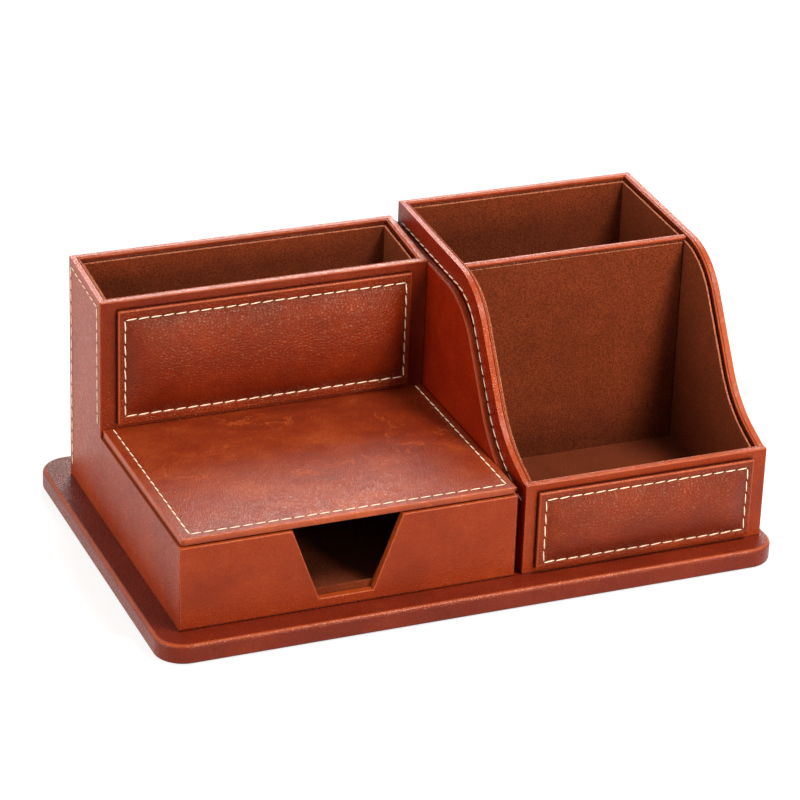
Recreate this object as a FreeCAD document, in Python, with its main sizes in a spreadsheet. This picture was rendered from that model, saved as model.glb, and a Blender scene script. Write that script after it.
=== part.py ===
# Desk organiser on a base plate: a drawer unit with an upright pen tray behind it, and a
# two-compartment phone stand with swept side walls. Leather-wrapped boards, suede linings.
# Frame: origin at the middle of the underside, +Z up, the front faces -Y. Millimetres.
import FreeCAD, Part
import math
import os
import re
import Sketcher

doc = FreeCAD.newDocument("desk_organiser")
sheet = doc.addObject("Spreadsheet::Sheet", "dims")

# ---------------------------------------------------------------- driving dimensions
SIZES = [
    # base
    ("underlay_thick", 0.8), ("underlay_inset", 3.0), ("plate_thick", 9.2),
    ("plate_corner", 13.5), ("plate_edge", 2.2),
    ("margin_left", 11.6), ("margin_right", 4.4), ("margin_front", 12.6), ("margin_rear", 18.8),
    # both units
    ("unit_depth", 157.4), ("board", 3.8), ("board_edge", 1.1), ("suede", 1.6),
    ("suede_drop", 2.2), ("module_gap", 3.8), ("slide_gap", 0.3),
    # drawer unit and pen tray
    ("left_width", 157.2), ("tray_depth", 45.9), ("tray_front_height", 106.9),
    ("tray_slope", 5.4), ("tray_floor_thick", 10.5),
    ("bay_height", 40.3), ("shadow_gap", 1.0), ("bay_card", 1.6), ("bay_floor_thick", 1.5),
    ("top_board", 2.0), ("top_cover", 1.0), ("top_inset", 1.0), ("top_corner", 2.4),
    ("top_edge", 0.7),
    ("cover_thick", 1.7), ("cover_setback", 6.0), ("cover_front_height", 36.0),
    ("cover_front_run", 13.3), ("cover_edge", 0.5),
    # drawer
    ("front_thick", 4.0), ("front_lift", 0.4), ("drawer_side", 2.2), ("drawer_play", 0.5),
    ("drawer_back_play", 1.0), ("drawer_headroom", 2.8), ("drawer_floor_thick", 2.0),
    ("drawer_suede", 0.8), ("notch_centre", 77.0), ("notch_top", 51.4), ("notch_foot", 25.4),
    ("notch_sill", 5.0), ("liner_sill_rise", 3.0), ("liner_clear", 1.5),
    # swept side walls
    ("sweep_knee", 50.0), ("sweep_shoulder", 36.0), ("sweep_steep", 58.0), ("sweep_toe", 22.0),
    # phone stand
    ("right_width", 119.0), ("stand_front_height", 44.5), ("stand_rear_height", 118.0),
    ("stand_slope", 2.4), ("stand_toe_run", 9.5), ("stand_floor_thick", 10.5),
    ("divider_place", 85.4), ("divider_thick", 3.6), ("divider_height", 114.2),
    ("divider_suede", 1.2),
    # padded front panels
    ("pad_card", 1.0), ("pad_soft", 1.8), ("pad_corner", 2.0), ("pad_edge", 1.2),
    ("tray_pad_left", 7.8), ("tray_pad_right", 8.4), ("tray_pad_foot", 2.4), ("tray_pad_top", 4.0),
    ("stand_pad_left", 5.7), ("stand_pad_right", 7.2), ("stand_pad_foot", 2.9),
    ("stand_pad_top", 3.5),
]
VALUE = dict(SIZES)
TINY = 0.01                                            # places closer than this are the same
SPARE = "1"                                            # how far a mitre's cut runs past its board
for row, (alias, value) in enumerate(SIZES, start=1):
    sheet.set(f"A{row}", alias)
    sheet.set(f"B{row}", str(value))
    sheet.setAlias(f"B{row}", alias)
doc.recompute()

# Places that many pieces share, worked out from the driving dimensions.
LENGTH = "(margin_left + left_width + module_gap + right_width + margin_right)"
DEPTH = "(margin_front + unit_depth + margin_rear)"
LEFT = f"(margin_left - {LENGTH} / 2)"                 # outer left face of the drawer unit
RIGHT = f"({LEFT} + left_width + module_gap)"          # outer left face of the phone stand
FRONT = f"(margin_front - {DEPTH} / 2)"                # front faces of both units
DECK = "(underlay_thick + plate_thick)"                # top of the base plate
TRAY = "(unit_depth - tray_depth)"                     # pen tray's front face, from the front
PANEL = "(bay_height + shadow_gap)"                    # underside of the top panel, from the deck
FLOOR = "(bay_floor_thick + slide_gap)"                # underside of the drawer, from the deck
BAY_MOUTH = "(front_thick + slide_gap)"                # front edges of the bay's cards
CASE = "(left_width - 2 * board)"                      # between the drawer unit's side panels
SLIDE = "(board + bay_card + drawer_play)"             # outer face of the drawer's side
INSIDE = f"({SLIDE} + drawer_side)"                    # inner face of the drawer's side
TRAY_BACK = "(unit_depth - board)"
TRAY_INNER = f"({TRAY} + board)"
STAND = "(right_width - 2 * board)"                    # between the phone stand's side walls
STAND_BACK = "(unit_depth - board)"


def tray_rim(back):
    """Height of the pen tray's sloping rim, at a distance back from the front."""
    return f"(tray_front_height + ({back} - {TRAY}) * tan(tray_slope * 1deg))"


def stand_rim(back):
    """Height of the phone stand's rim behind its shoulder."""
    return f"(stand_rear_height - (unit_depth - {back}) * tan(stand_slope * 1deg))"


def named(text):
    """The text of an expression, with each alias pointing at its cell in the sheet."""
    return re.sub(r"[a-z_]\w*", lambda word: "dims." + word[0] if word[0] in VALUE else word[0], text)


def bind(item, prop, text):
    item.setExpression(prop, named(text))


def amount(text):
    """The value of an expression now, for the first shape of a sketch."""
    return float(sheet.evalExpression(named(text)))


def place(item, across, back, up):
    """Sets an item's corner: across from the left, back from the front, up from the desk."""
    bind(item, "Placement.Base.x", across)
    bind(item, "Placement.Base.y", back)
    bind(item, "Placement.Base.z", up)


# ---------------------------------------------------------------- ways of making a piece
def block(label, across, back, up, width, depth, height):
    """A plain card or board with square edges."""
    item = doc.addObject("Part::Box", label)
    item.Label = label
    bind(item, "Length", width)
    bind(item, "Width", depth)
    bind(item, "Height", height)
    place(item, across, back, up)
    return item


def sketch_on(body, plane, name):
    sketch = body.newObject("Sketcher::SketchObject", name)
    origin = next(f for f in body.Origin.OriginFeatures if f.Role == plane)
    sketch.AttachmentSupport = [(origin, "")]
    sketch.MapMode = "FlatFace"
    return sketch


def closed_outline(sketch, corners):
    """Lines through corners, each given as a pair of expressions, held by their coordinates."""
    points = [FreeCAD.Vector(amount(a), amount(b), 0) for a, b in corners]
    count = len(points)
    for i in range(count):
        sketch.addGeometry(Part.LineSegment(points[i], points[(i + 1) % count]), False)
    for i in range(count):
        sketch.addConstraint(Sketcher.Constraint("Coincident", i, 2, (i + 1) % count, 1))
    for i, (a, b) in enumerate(corners):
        for kind, text, value in (("DistanceX", a, points[i].x), ("DistanceY", b, points[i].y)):
            index = sketch.addConstraint(Sketcher.Constraint(kind, -1, 1, i, 1, value))
            bind(sketch, f"Constraints[{index}]", text)


def pad(body, sketch, name, length, backwards=False):
    solid = body.newObject("PartDesign::Pad", name)
    solid.Profile = sketch
    solid.Reversed = backwards
    bind(solid, "Length", length)
    sketch.Visibility = False
    doc.recompute()
    return solid


def rounded(body, base, name, radius, keep):
    """Rounds the edges of base for which keep(edge) is true."""
    edges = [f"Edge{i}" for i, edge in enumerate(base.Shape.Edges, start=1) if keep(edge)]
    fillet = body.newObject("PartDesign::Fillet", name)
    fillet.Base = (base, edges)
    bind(fillet, "Radius", radius)
    doc.recompute()
    return fillet


def new_body(label, across, back, up):
    body = doc.addObject("PartDesign::Body", label)
    body.Label = label
    place(body, across, back, up)
    return body


def level(edge):
    return edge.BoundBox.ZLength < TINY


def upright(edge):
    return edge.BoundBox.ZLength > TINY


def rim(edge):
    """The two long edges along the top of a board, seen in its body's own frame."""
    box = edge.BoundBox
    return level(edge) and box.ZMax > TINY and edge.Length > 2 * VALUE["board"]


def long_rim(edge):
    """The long edges along the top of a board that is padded across."""
    return edge.BoundBox.XLength > TINY and edge.BoundBox.ZMin > TINY


def front_face(edge):
    """The edges of a pad's front face, in a body that is padded forwards from its own origin."""
    box = edge.BoundBox
    return box.YLength < TINY and box.YMax < -TINY


def board(label, across, back, up, width, depth, height, radius, keep):
    """A wrapped board: a rectangle padded up, with the edges that show rounded."""
    body = new_body(label, across, back, up)
    sketch = sketch_on(body, "XY_Plane", label + "_outline")
    closed_outline(sketch, [("0", "0"), (width, "0"), (width, depth), ("0", depth)])
    solid = pad(body, sketch, label + "_pad", height)
    rounded(body, solid, label + "_edges", radius, keep)
    return body


def slab(label, across, back, up, width, depth, height, corner, radius=None, keep=level):
    """A flat board with rounded corners and, if radius is given, softened level edges."""
    body = board(label, across, back, up, width, depth, height, corner, upright)
    if radius:
        rounded(body, body.Tip, label + "_soft_edges", radius, keep)
    return body


def mitre(body, name, across, back, inward, runs, up="0"):
    """Cuts a board's end at 45 degrees through the box's outer corner at (across, back).

    inward gives the signs, across and back, of the way into the box. runs is "back" for a side
    board and "across" for a front or rear board. The cut goes up from the height given.
    """
    corner = list(zip((across, back), inward))
    near = [f"{spot} - {sign} * {SPARE}" for spot, sign in corner]
    far = [f"{spot} + {sign} * (front_thick + {SPARE})" for spot, sign in corner]
    third = (far[0], near[1]) if runs == "back" else (near[0], far[1])
    sketch = sketch_on(body, "XY_Plane", name)
    bind(sketch, "AttachmentOffset.Base.z", up)
    closed_outline(sketch, [tuple(near), tuple(far), third])
    whole = body.Tip.Shape.Volume
    cut = body.newObject("PartDesign::Pocket", name + "_cut")
    cut.Profile = sketch
    cut.Type = "ThroughAll"
    cut.Reversed = True
    sketch.Visibility = False
    doc.recompute()
    if cut.Shape.Volume > whole - TINY:
        raise RuntimeError(f"{name} cut nothing")


def side_outline(label, across, corners, thick, radius=None, keep=None):
    """A board that stands along the depth, drawn as an outline of back and up."""
    body = new_body(label, across, FRONT, DECK)
    sketch = sketch_on(body, "YZ_Plane", label + "_outline")
    closed_outline(sketch, corners)
    solid = pad(body, sketch, label + "_pad", thick)
    if radius:
        rounded(body, solid, label + "_edges", radius, keep)
    return body


def sweep(label, across, thick, start, front_height, rear_height, toe_run, slope, land=None,
          drop="0", radius=None):
    """A side wall whose top falls from the rear in a shoulder and a knee to a low toe."""
    body = new_body(label, across, FRONT, DECK)
    sketch = sketch_on(body, "YZ_Plane", label + "_outline")
    sweep_outline(sketch, start, front_height, rear_height, toe_run, slope, land, drop)
    solid = pad(body, sketch, label + "_pad", thick)
    if radius:
        rear = amount("unit_depth")

        def shows(edge):
            box = edge.BoundBox
            along_a_side = box.XLength < TINY
            at_rear = box.YMin > rear - TINY
            return along_a_side and not at_rear and box.ZMax > TINY
        rounded(body, solid, label + "_edges", radius, shows)
    return body


def sweep_outline(sketch, start, front_height, rear_height, toe_run, slope, land, drop):
    """Line, shoulder arc, steep line, knee arc and toe line, all tangent, over a flat foot.

    The front end stands at start. If land is given, the top is level for that far behind it.
    """
    toe, steep, top = (math.radians(amount(a)) for a in ("sweep_toe", "sweep_steep", slope))
    down = amount(drop)
    knee = amount("sweep_knee") + down
    shoulder = amount("sweep_shoulder") - down
    front = amount(start)
    v0 = front + (amount(land) if land else 0)
    v1 = amount("unit_depth")
    low = amount(front_height) - down / math.cos(toe)
    high = amount(rear_height) - down / math.cos(top)
    run = amount(toe_run) + down * math.sin(toe)
    s = (v0 + run, low + run * math.tan(toe))
    r = (s[0] + knee * (math.sin(steep) - math.sin(toe)),
         s[1] + knee * (math.cos(toe) - math.cos(steep)))
    turn = (shoulder * (math.sin(steep) - math.sin(top)),
            shoulder * (math.cos(top) - math.cos(steep)))
    short = high - (v1 - r[0] - turn[0]) * math.tan(top) - r[1] - turn[1]
    steep_length = short / (math.sin(steep) - math.cos(steep) * math.tan(top))
    q = (r[0] + steep_length * math.cos(steep), r[1] + steep_length * math.sin(steep))
    p = (q[0] + turn[0], q[1] + turn[1])

    def line(a, b):
        sketch.addGeometry(Part.LineSegment(FreeCAD.Vector(*a, 0), FreeCAD.Vector(*b, 0)), False)

    def arc(centre, size, first, last):
        circle = Part.Circle(FreeCAD.Vector(*centre, 0), FreeCAD.Vector(0, 0, 1), size)
        sketch.addGeometry(Part.ArcOfCircle(circle, first, last), False)

    quarter = math.pi / 2
    shoulder_centre = (q[0] + shoulder * math.sin(steep), q[1] - shoulder * math.cos(steep))
    knee_centre = (r[0] - knee * math.sin(steep), r[1] + knee * math.cos(steep))
    line((front, 0), (v1, 0))
    line((v1, 0), (v1, high))
    line(p, (v1, high))
    arc(shoulder_centre, shoulder, quarter + top, quarter + steep)
    line(r, q)
    arc(knee_centre, knee, toe - quarter, steep - quarter)
    line((v0, low), s)
    line((front, 0), (front, low))
    joins = [(0, 2, 1, 1), (1, 2, 2, 2), (7, 1, 0, 1)]
    if land:
        line((front, low), (v0, low))
        joins += [(7, 2, 8, 1), (8, 2, 6, 1)]
    else:
        joins += [(7, 2, 6, 1)]
    rule = Sketcher.Constraint
    for first, end, second, begin in joins:
        sketch.addConstraint(rule("Coincident", first, end, second, begin))
    for first, end, second, begin in ((2, 1, 3, 1), (3, 2, 4, 2), (4, 1, 5, 2), (5, 1, 6, 2)):
        sketch.addConstraint(rule("Tangent", first, end, second, begin))
    sketch.addConstraint(rule("Vertical", 1))
    sketch.addConstraint(rule("Vertical", 7))
    sketch.addConstraint(rule("PointOnObject", 0, 1, -1))
    sketch.addConstraint(rule("PointOnObject", 0, 2, -1))
    held = [
        (rule("DistanceX", -1, 1, 0, 1, front), start),
        (rule("DistanceX", 0, 1, 0, 2, v1 - front), f"unit_depth - {start}"),
        (rule("DistanceY", 7, 1, 7, 2, low), f"{front_height} - {drop} / cos(sweep_toe * 1deg)"),
        (rule("DistanceY", 1, 1, 1, 2, high), f"{rear_height} - {drop} / cos({slope} * 1deg)"),
        (rule("DistanceX", 6, 1, 6, 2, run), f"{toe_run} + {drop} * sin(sweep_toe * 1deg)"),
        (rule("Radius", 3, shoulder), f"sweep_shoulder - {drop}"),
        (rule("Radius", 5, knee), f"sweep_knee + {drop}"),
        (rule("Angle", 2, top), f"{slope} * 1deg"),
        (rule("Angle", 4, steep), "sweep_steep * 1deg"),
        (rule("Angle", 6, toe), "sweep_toe * 1deg"),
    ]
    if land:
        sketch.addConstraint(rule("Horizontal", 8))
        held.append((rule("DistanceX", 8, 1, 8, 2, v0 - front), land))
    for constraint, text in held:
        index = sketch.addConstraint(constraint)
        bind(sketch, f"Constraints[{index}]", text)


# ---------------------------------------------------------------- base
def make_base():
    length, depth = LENGTH, DEPTH
    inset = "underlay_inset"
    return [
        slab("base_underlay", f"{inset} - {length} / 2", f"{inset} - {depth} / 2", "0",
             f"{length} - 2 * {inset}", f"{depth} - 2 * {inset}", "underlay_thick",
             f"plate_corner - {inset}"),
        slab("base_plate", f"-{length} / 2", f"-{depth} / 2", "underlay_thick",
             length, depth, "plate_thick", "plate_corner", "plate_edge"),
    ]


# ---------------------------------------------------------------- drawer unit and pen tray
def make_tray_case():
    low = "bay_height"
    tip = "slide_gap * sqrt(2)"                        # leaves slide_gap between the mitres
    side = [(tip, "0"), ("unit_depth", "0"), ("unit_depth", tray_rim("unit_depth")),
            (TRAY, "tray_front_height"), (TRAY, low), (tip, low)]
    front = [(TRAY, low), (TRAY_INNER, low), (TRAY_INNER, tray_rim(TRAY_INNER)),
             (TRAY, "tray_front_height")]
    rear = [(TRAY_BACK, "0"), ("unit_depth", "0"), ("unit_depth", tray_rim("unit_depth")),
            (TRAY_BACK, tray_rim(TRAY_BACK))]
    shelf = amount(low)

    def side_rim(edge):
        box = edge.BoundBox
        return box.XLength < TINY < box.YLength and box.ZMin > shelf - TINY

    def cross_rim(edge):
        return edge.BoundBox.XLength > TINY and edge.BoundBox.ZMin > shelf + TINY

    left = side_outline("left_side_panel", LEFT, side, "board", "board_edge", side_rim)
    right = side_outline("right_side_panel", f"{LEFT} + left_width - board", side, "board",
                         "board_edge", side_rim)
    for panel, outer, way in ((left, "0", 1), (right, "board", -1)):
        name = panel.Label
        mitre(panel, name + "_drawer_mitre", outer, tip, (way, 1), "back")
        mitre(panel, name + "_tray_mitre", outer, TRAY, (way, 1), "back", low)
        mitre(panel, name + "_rear_mitre", outer, "unit_depth", (way, -1), "back")

    tray_front = side_outline("tray_front_wall", LEFT, front, "left_width", "board_edge",
                              cross_rim)
    tray_rear = side_outline("tray_rear_wall", LEFT, rear, "left_width", "board_edge", cross_rim)
    for outer, way, side_name in (("0", 1, "left"), ("left_width", -1, "right")):
        mitre(tray_front, f"tray_front_{side_name}_mitre", outer, TRAY, (way, 1), "across")
        mitre(tray_rear, f"tray_rear_{side_name}_mitre", outer, "unit_depth", (way, -1), "across")

    cover = sweep("curved_side_cover", f"{LEFT} + left_width", "cover_thick", "cover_setback",
                  "cover_front_height", tray_rim("unit_depth"), "cover_front_run", "tray_slope",
                  radius="cover_edge")
    floor = block("tray_floor", f"{LEFT} + board", f"{FRONT} + {TRAY_INNER}", DECK, CASE,
                  "tray_depth - 2 * board", "tray_floor_thick")
    return [left, right, tray_front, tray_rear, cover, floor]


def make_tray_lining():
    floor = f"{DECK} + tray_floor_thick"
    near = f"({TRAY_INNER} + suede)"
    far = f"({TRAY_BACK} - suede)"
    side = [(near, "tray_floor_thick"), (far, "tray_floor_thick"),
            (far, f"{tray_rim(far)} - suede_drop"), (near, f"{tray_rim(near)} - suede_drop")]
    return [
        block("tray_suede_front", f"{LEFT} + board", f"{FRONT} + {TRAY_INNER}", floor, CASE,
              "suede", "tray_front_height - suede_drop - tray_floor_thick"),
        block("tray_suede_rear", f"{LEFT} + board", f"{FRONT} + {far}", floor, CASE, "suede",
              f"{tray_rim(far)} - suede_drop - tray_floor_thick"),
        side_outline("tray_suede_left", f"{LEFT} + board", side, "suede"),
        side_outline("tray_suede_right", f"{LEFT} + left_width - board - suede", side, "suede"),
        block("tray_suede_floor", f"{LEFT} + board + suede", f"{FRONT} + {near}", floor,
              f"{CASE} - 2 * suede", f"{far} - {near}", "suede"),
    ]


def make_drawer_bay():
    mouth = f"{FRONT} + {BAY_MOUTH}"
    deep = f"{TRAY} - {BAY_MOUTH}"
    over_floor = f"{DECK} + bay_floor_thick"
    wall_height = f"{PANEL} - bay_floor_thick"
    width = "left_width - top_inset - slide_gap"
    depth = f"{TRAY} - top_inset"
    across = f"{LEFT} + top_inset"
    back = f"{FRONT} + top_inset"
    return [
        block("bay_floor", f"{LEFT} + board", mouth, DECK, CASE, deep, "bay_floor_thick"),
        block("bay_left_card", f"{LEFT} + board", mouth, over_floor, "bay_card", deep, wall_height),
        block("bay_right_card", f"{LEFT} + left_width - board - bay_card", mouth, over_floor,
              "bay_card", deep, wall_height),
        block("bay_rear_wall", f"{LEFT} + board", f"{FRONT} + {TRAY}", DECK, CASE, "board",
              "bay_height"),
        slab("top_panel_board", across, back, f"{DECK} + {PANEL}", width, depth, "top_board",
             "top_corner"),
        slab("top_panel_cover", across, back, f"{DECK} + {PANEL} + top_board", width, depth,
             "top_cover", "top_corner", "top_edge",
             lambda edge: level(edge) and edge.BoundBox.ZMin > TINY),
    ]


def notched(label, across, back, up, width, height, thick, centre, top, foot, sill):
    """An upright board across the front, with a tapered notch open at its top edge."""
    body = new_body(label, across, back, up)
    sketch = sketch_on(body, "XZ_Plane", label + "_outline")
    closed_outline(sketch, [
        ("0", "0"), (width, "0"), (width, height),
        (f"{centre} + {top} / 2", height), (f"{centre} + {foot} / 2", sill),
        (f"{centre} - {foot} / 2", sill), (f"{centre} - {top} / 2", height), ("0", height)])
    pad(body, sketch, label + "_pad", thick, backwards=True)
    return body


def make_drawer():
    height = "(bay_height - front_lift)"
    front = notched("drawer_front", LEFT, FRONT, f"{DECK} + front_lift", "left_width", height,
                    "front_thick", "notch_centre", "notch_top", "notch_foot",
                    "notch_sill - front_lift")

    top = amount(height)

    def shows(edge):
        box = edge.BoundBox
        at_face = box.YMax < TINY < box.ZMax and not (box.XLength < TINY and box.ZMin < TINY)
        return at_face or (box.YLength < TINY and box.ZMin > top - TINY)

    rounded(front, front.Tip, "drawer_front_edges", "board_edge", shows)
    mitre(front, "drawer_front_left_mitre", "0", "0", (1, 1), "across")
    mitre(front, "drawer_front_right_mitre", "left_width", "0", (-1, 1), "across")
    inside = f"(left_width - 2 * {INSIDE})"
    back = "front_thick"
    deep = f"({TRAY} - drawer_back_play - {back})"
    under = f"{DECK} + {FLOOR}"
    over = f"({FLOOR} + drawer_floor_thick)"
    wall = f"{PANEL} - drawer_headroom - {FLOOR}"
    lining_top = f"(bay_height - suede_drop - {over})"
    centre = f"(notch_centre - {INSIDE})"
    foot = "(notch_foot + 2 * liner_clear)"
    return [
        front,
        notched("drawer_front_lining", f"{LEFT} + {INSIDE}", f"{FRONT} + {back}",
                f"{DECK} + {over}", inside, lining_top, "suede", centre,
                "(notch_top + 2 * liner_clear)", foot, f"notch_sill + liner_sill_rise - {over}"),
        block("drawer_left_side", f"{LEFT} + {SLIDE}", f"{FRONT} + {back}", under, "drawer_side",
              deep, wall),
        block("drawer_right_side", f"{LEFT} + left_width - {INSIDE}", f"{FRONT} + {back}", under,
              "drawer_side", deep, wall),
        block("drawer_back", f"{LEFT} + {INSIDE}", f"{FRONT} + {back} + {deep} - drawer_side",
              under, inside, "drawer_side", wall),
        block("drawer_floor", f"{LEFT} + {INSIDE}", f"{FRONT} + {back}", under, inside,
              f"{deep} - drawer_side", "drawer_floor_thick"),
        block("drawer_suede_floor", f"{LEFT} + {INSIDE}", f"{FRONT} + {back} + suede",
              f"{DECK} + {over}", inside, f"{deep} - drawer_side - suede", "drawer_suede"),
    ]


# ---------------------------------------------------------------- phone stand
def make_stand():
    inner = f"{RIGHT} + board"
    shape = ("0", "stand_front_height", "stand_rear_height", "stand_toe_run", "stand_slope",
             "board")
    left = sweep("stand_left_wall", RIGHT, "board", *shape, radius="board_edge")
    right = sweep("stand_right_wall", f"{RIGHT} + right_width - board", "board", *shape,
                  radius="board_edge")
    front = side_outline(
        "stand_front_wall", RIGHT, [("0", "0"), ("board", "0"), ("board", "stand_front_height"),
                                    ("0", "stand_front_height")],
        "right_width", "board_edge", long_rim)
    rear = side_outline(
        "stand_rear_wall", RIGHT, [(STAND_BACK, "0"), ("unit_depth", "0"),
                                   ("unit_depth", "stand_rear_height"),
                                   (STAND_BACK, stand_rim(STAND_BACK))],
        "right_width", "board_edge", long_rim)
    for wall, outer, way in ((left, "0", 1), (right, "board", -1)):
        mitre(wall, wall.Label + "_front_mitre", outer, "0", (way, 1), "back")
        mitre(wall, wall.Label + "_rear_mitre", outer, "unit_depth", (way, -1), "back")
    for outer, way, side in (("0", 1, "left"), ("right_width", -1, "right")):
        mitre(front, f"stand_front_{side}_mitre", outer, "0", (way, 1), "across")
        mitre(rear, f"stand_rear_{side}_mitre", outer, "unit_depth", (way, -1), "across")
    return [
        left, right, front, rear,
        block("stand_floor", inner, f"{FRONT} + board", DECK, STAND, f"{STAND_BACK} - board",
              "stand_floor_thick"),
        board("divider_board", inner, f"{FRONT} + divider_place", f"{DECK} + stand_floor_thick",
              STAND, "divider_thick", "divider_height - stand_floor_thick", "board_edge", rim),
    ]


def make_stand_lining():
    inner = f"{RIGHT} + board"
    floor = "stand_floor_thick"
    lined = f"({STAND} - 2 * suede)"
    near = "(board + suede)"
    middle = "(divider_place + divider_thick)"
    far = f"({STAND_BACK} - suede)"
    pieces = [
        block("stand_suede_front", inner, f"{FRONT} + board", f"{DECK} + {floor}", STAND, "suede",
              f"stand_front_height - suede_drop - {floor}"),
        block("stand_suede_rear", inner, f"{FRONT} + {far}", f"{DECK} + {floor}", STAND, "suede",
              f"{stand_rim(far)} - suede_drop - {floor}"),
        block("divider_suede_front", f"{inner} + suede",
              f"{FRONT} + divider_place - divider_suede", f"{DECK} + {floor}", lined,
              "divider_suede", f"divider_height - suede_drop - {floor}"),
        block("divider_suede_rear", f"{inner} + suede", f"{FRONT} + {middle}",
              f"{DECK} + {floor}", lined, "divider_suede",
              f"divider_height - suede_drop - {floor}"),
        block("stand_suede_floor_front", f"{inner} + suede", f"{FRONT} + {near}",
              f"{DECK} + {floor}", lined, f"divider_place - divider_suede - {near}", "suede"),
        block("stand_suede_floor_rear", f"{inner} + suede",
              f"{FRONT} + {middle} + divider_suede", f"{DECK} + {floor}", lined,
              f"{far} - {middle} - divider_suede", "suede"),
    ]
    for side, across in (("left", inner), ("right", f"{inner} + {STAND} - suede")):
        whole = sweep(f"stand_{side}_lining_cut", across, "suede", "board", "stand_front_height",
                      "stand_rear_height", "stand_toe_run", "stand_slope", drop="suede_drop")
        for part, start, end in (("front", near, "divider_place"), ("rear", middle, far)):
            reach = block(f"stand_{side}_{part}_reach", across, f"{FRONT} + {start}",
                          f"{DECK} + {floor}", "suede", f"{end} - {start}", "stand_rear_height")
            lining = doc.addObject("Part::Common", f"stand_suede_{side}_{part}")
            lining.Label = lining.Name
            lining.Base = whole
            lining.Tool = reach
            pieces.append(lining)
    return pieces


# ---------------------------------------------------------------- padded front panels
def make_padded_panel(name, across, face, up, width, height):
    """A stiff card on a front face, and the soft pad that covers it."""
    def layer(label, forward, thick):
        body = new_body(label, across, f"{face} - {forward}", up)
        sketch = sketch_on(body, "XZ_Plane", label + "_outline")
        closed_outline(sketch, [("0", "0"), (width, "0"), (width, height), ("0", height)])
        solid = pad(body, sketch, label + "_pad", thick)
        rounded(body, solid, label + "_corners", "pad_corner",
                lambda edge: edge.BoundBox.YLength > TINY)
        return body

    card = layer(f"{name}_card", "0", "pad_card")
    cushion = layer(f"{name}_cushion", "pad_card", "pad_soft")
    rounded(cushion, cushion.Tip, f"{name}_cushion_edges", "pad_edge", front_face)
    return [card, cushion]


def make_padded_panels():
    return (
        make_padded_panel("tray_panel", f"{LEFT} + tray_pad_left", f"{FRONT} + {TRAY}",
                          f"{DECK} + {PANEL} + top_board + top_cover + tray_pad_foot",
                          "left_width - tray_pad_left - tray_pad_right",
                          f"tray_front_height - tray_pad_top - tray_pad_foot"
                          f" - {PANEL} - top_board - top_cover")
        + make_padded_panel("stand_panel", f"{RIGHT} + stand_pad_left", FRONT,
                            f"{DECK} + stand_pad_foot",
                            "right_width - stand_pad_left - stand_pad_right",
                            "stand_front_height - stand_pad_top - stand_pad_foot"))


# ---------------------------------------------------------------- the whole model
pieces = (make_base() + make_tray_case() + make_tray_lining() + make_drawer_bay() + make_drawer()
          + make_stand() + make_stand_lining() + make_padded_panels())
doc.recompute()

for item in doc.Objects:
    if "Invalid" in item.State or "Error" in item.State:
        raise RuntimeError(f"{item.Label} did not build: {item.State}")
for item in pieces:
    if item.Shape.isNull() or not item.Shape.isValid() or item.Shape.Volume <= 0:
        raise RuntimeError(f"{item.Label} has no good shape")

os.makedirs("parts", exist_ok=True)
for item in pieces:
    item.Shape.exportStep(f"parts/{item.Label}.step")
print(len(pieces), "pieces written")
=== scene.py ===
import math
import random

import bmesh
import bpy
from mathutils import Matrix, Vector


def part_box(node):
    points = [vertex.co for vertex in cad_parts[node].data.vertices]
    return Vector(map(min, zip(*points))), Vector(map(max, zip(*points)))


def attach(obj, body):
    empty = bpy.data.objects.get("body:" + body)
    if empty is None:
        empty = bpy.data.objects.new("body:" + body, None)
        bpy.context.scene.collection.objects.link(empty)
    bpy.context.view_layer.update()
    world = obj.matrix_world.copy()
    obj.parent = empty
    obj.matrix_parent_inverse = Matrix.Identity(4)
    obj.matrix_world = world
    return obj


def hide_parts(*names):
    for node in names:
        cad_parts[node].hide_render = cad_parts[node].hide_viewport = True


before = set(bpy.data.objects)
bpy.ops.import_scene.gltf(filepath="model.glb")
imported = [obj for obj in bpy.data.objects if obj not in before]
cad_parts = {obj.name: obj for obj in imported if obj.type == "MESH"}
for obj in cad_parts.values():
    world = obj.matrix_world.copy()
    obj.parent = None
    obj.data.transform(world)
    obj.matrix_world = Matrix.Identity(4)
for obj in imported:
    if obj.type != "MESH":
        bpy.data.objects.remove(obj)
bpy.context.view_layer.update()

# Lengths are millimetres in this file, and metres in every mesh.
MM = 0.001
NEAR = 0.02                                    # corners closer than this are at the same place

# ------------------------------------------------------------------ places of the boards
DECK = 10.0                                    # top of the base plate
BOARD = 3.8                                    # thickness of a wrapped board
ROLL, CRISP = 1.35, 0.6                        # radii of the outer and inner wrapped edges
THIN_ROLL = 0.8                                # radius of a thin board's wrapped edges
HAIR = 0.05                                    # half the width of a joint between two boards
FRONT, BACK = -81.8, 75.6                      # outer faces of both units
DRAWER_X = (-136.4, 20.8)                      # outer faces of the drawer unit
COVER_X = (20.8, 24.3)                         # faces of the swept cover on its right side
COVER_FRONT = FRONT + 6
STAND_X = (24.6, 143.6)                        # outer faces of the phone stand
SHELF = 50.3                                   # rim of the low drawer case
TRAY_Y = 29.7                                  # front face of the pen tray
TRAY_RIM = 116.9                               # its rim there, rising to the rear
TRAY_SLOPE = math.radians(5.4)
STAND_SLOPE = math.radians(2.4)                # of the level part of the swept rims
STAND_FOOT_RIM = 54.5                          # rim of the stand's front wall
STAND_REAR_RIM = 128.0                         # and of its rear wall's outer face
DROP = 2.2                                     # suede tops lie this far below the rims
UP = (0, 0, 1)


def tray_rim(y):
    return TRAY_RIM + (y - TRAY_Y) * math.tan(TRAY_SLOPE)


def stand_rim(y):
    return STAND_REAR_RIM - (BACK - y) * math.tan(STAND_SLOPE)


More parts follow.
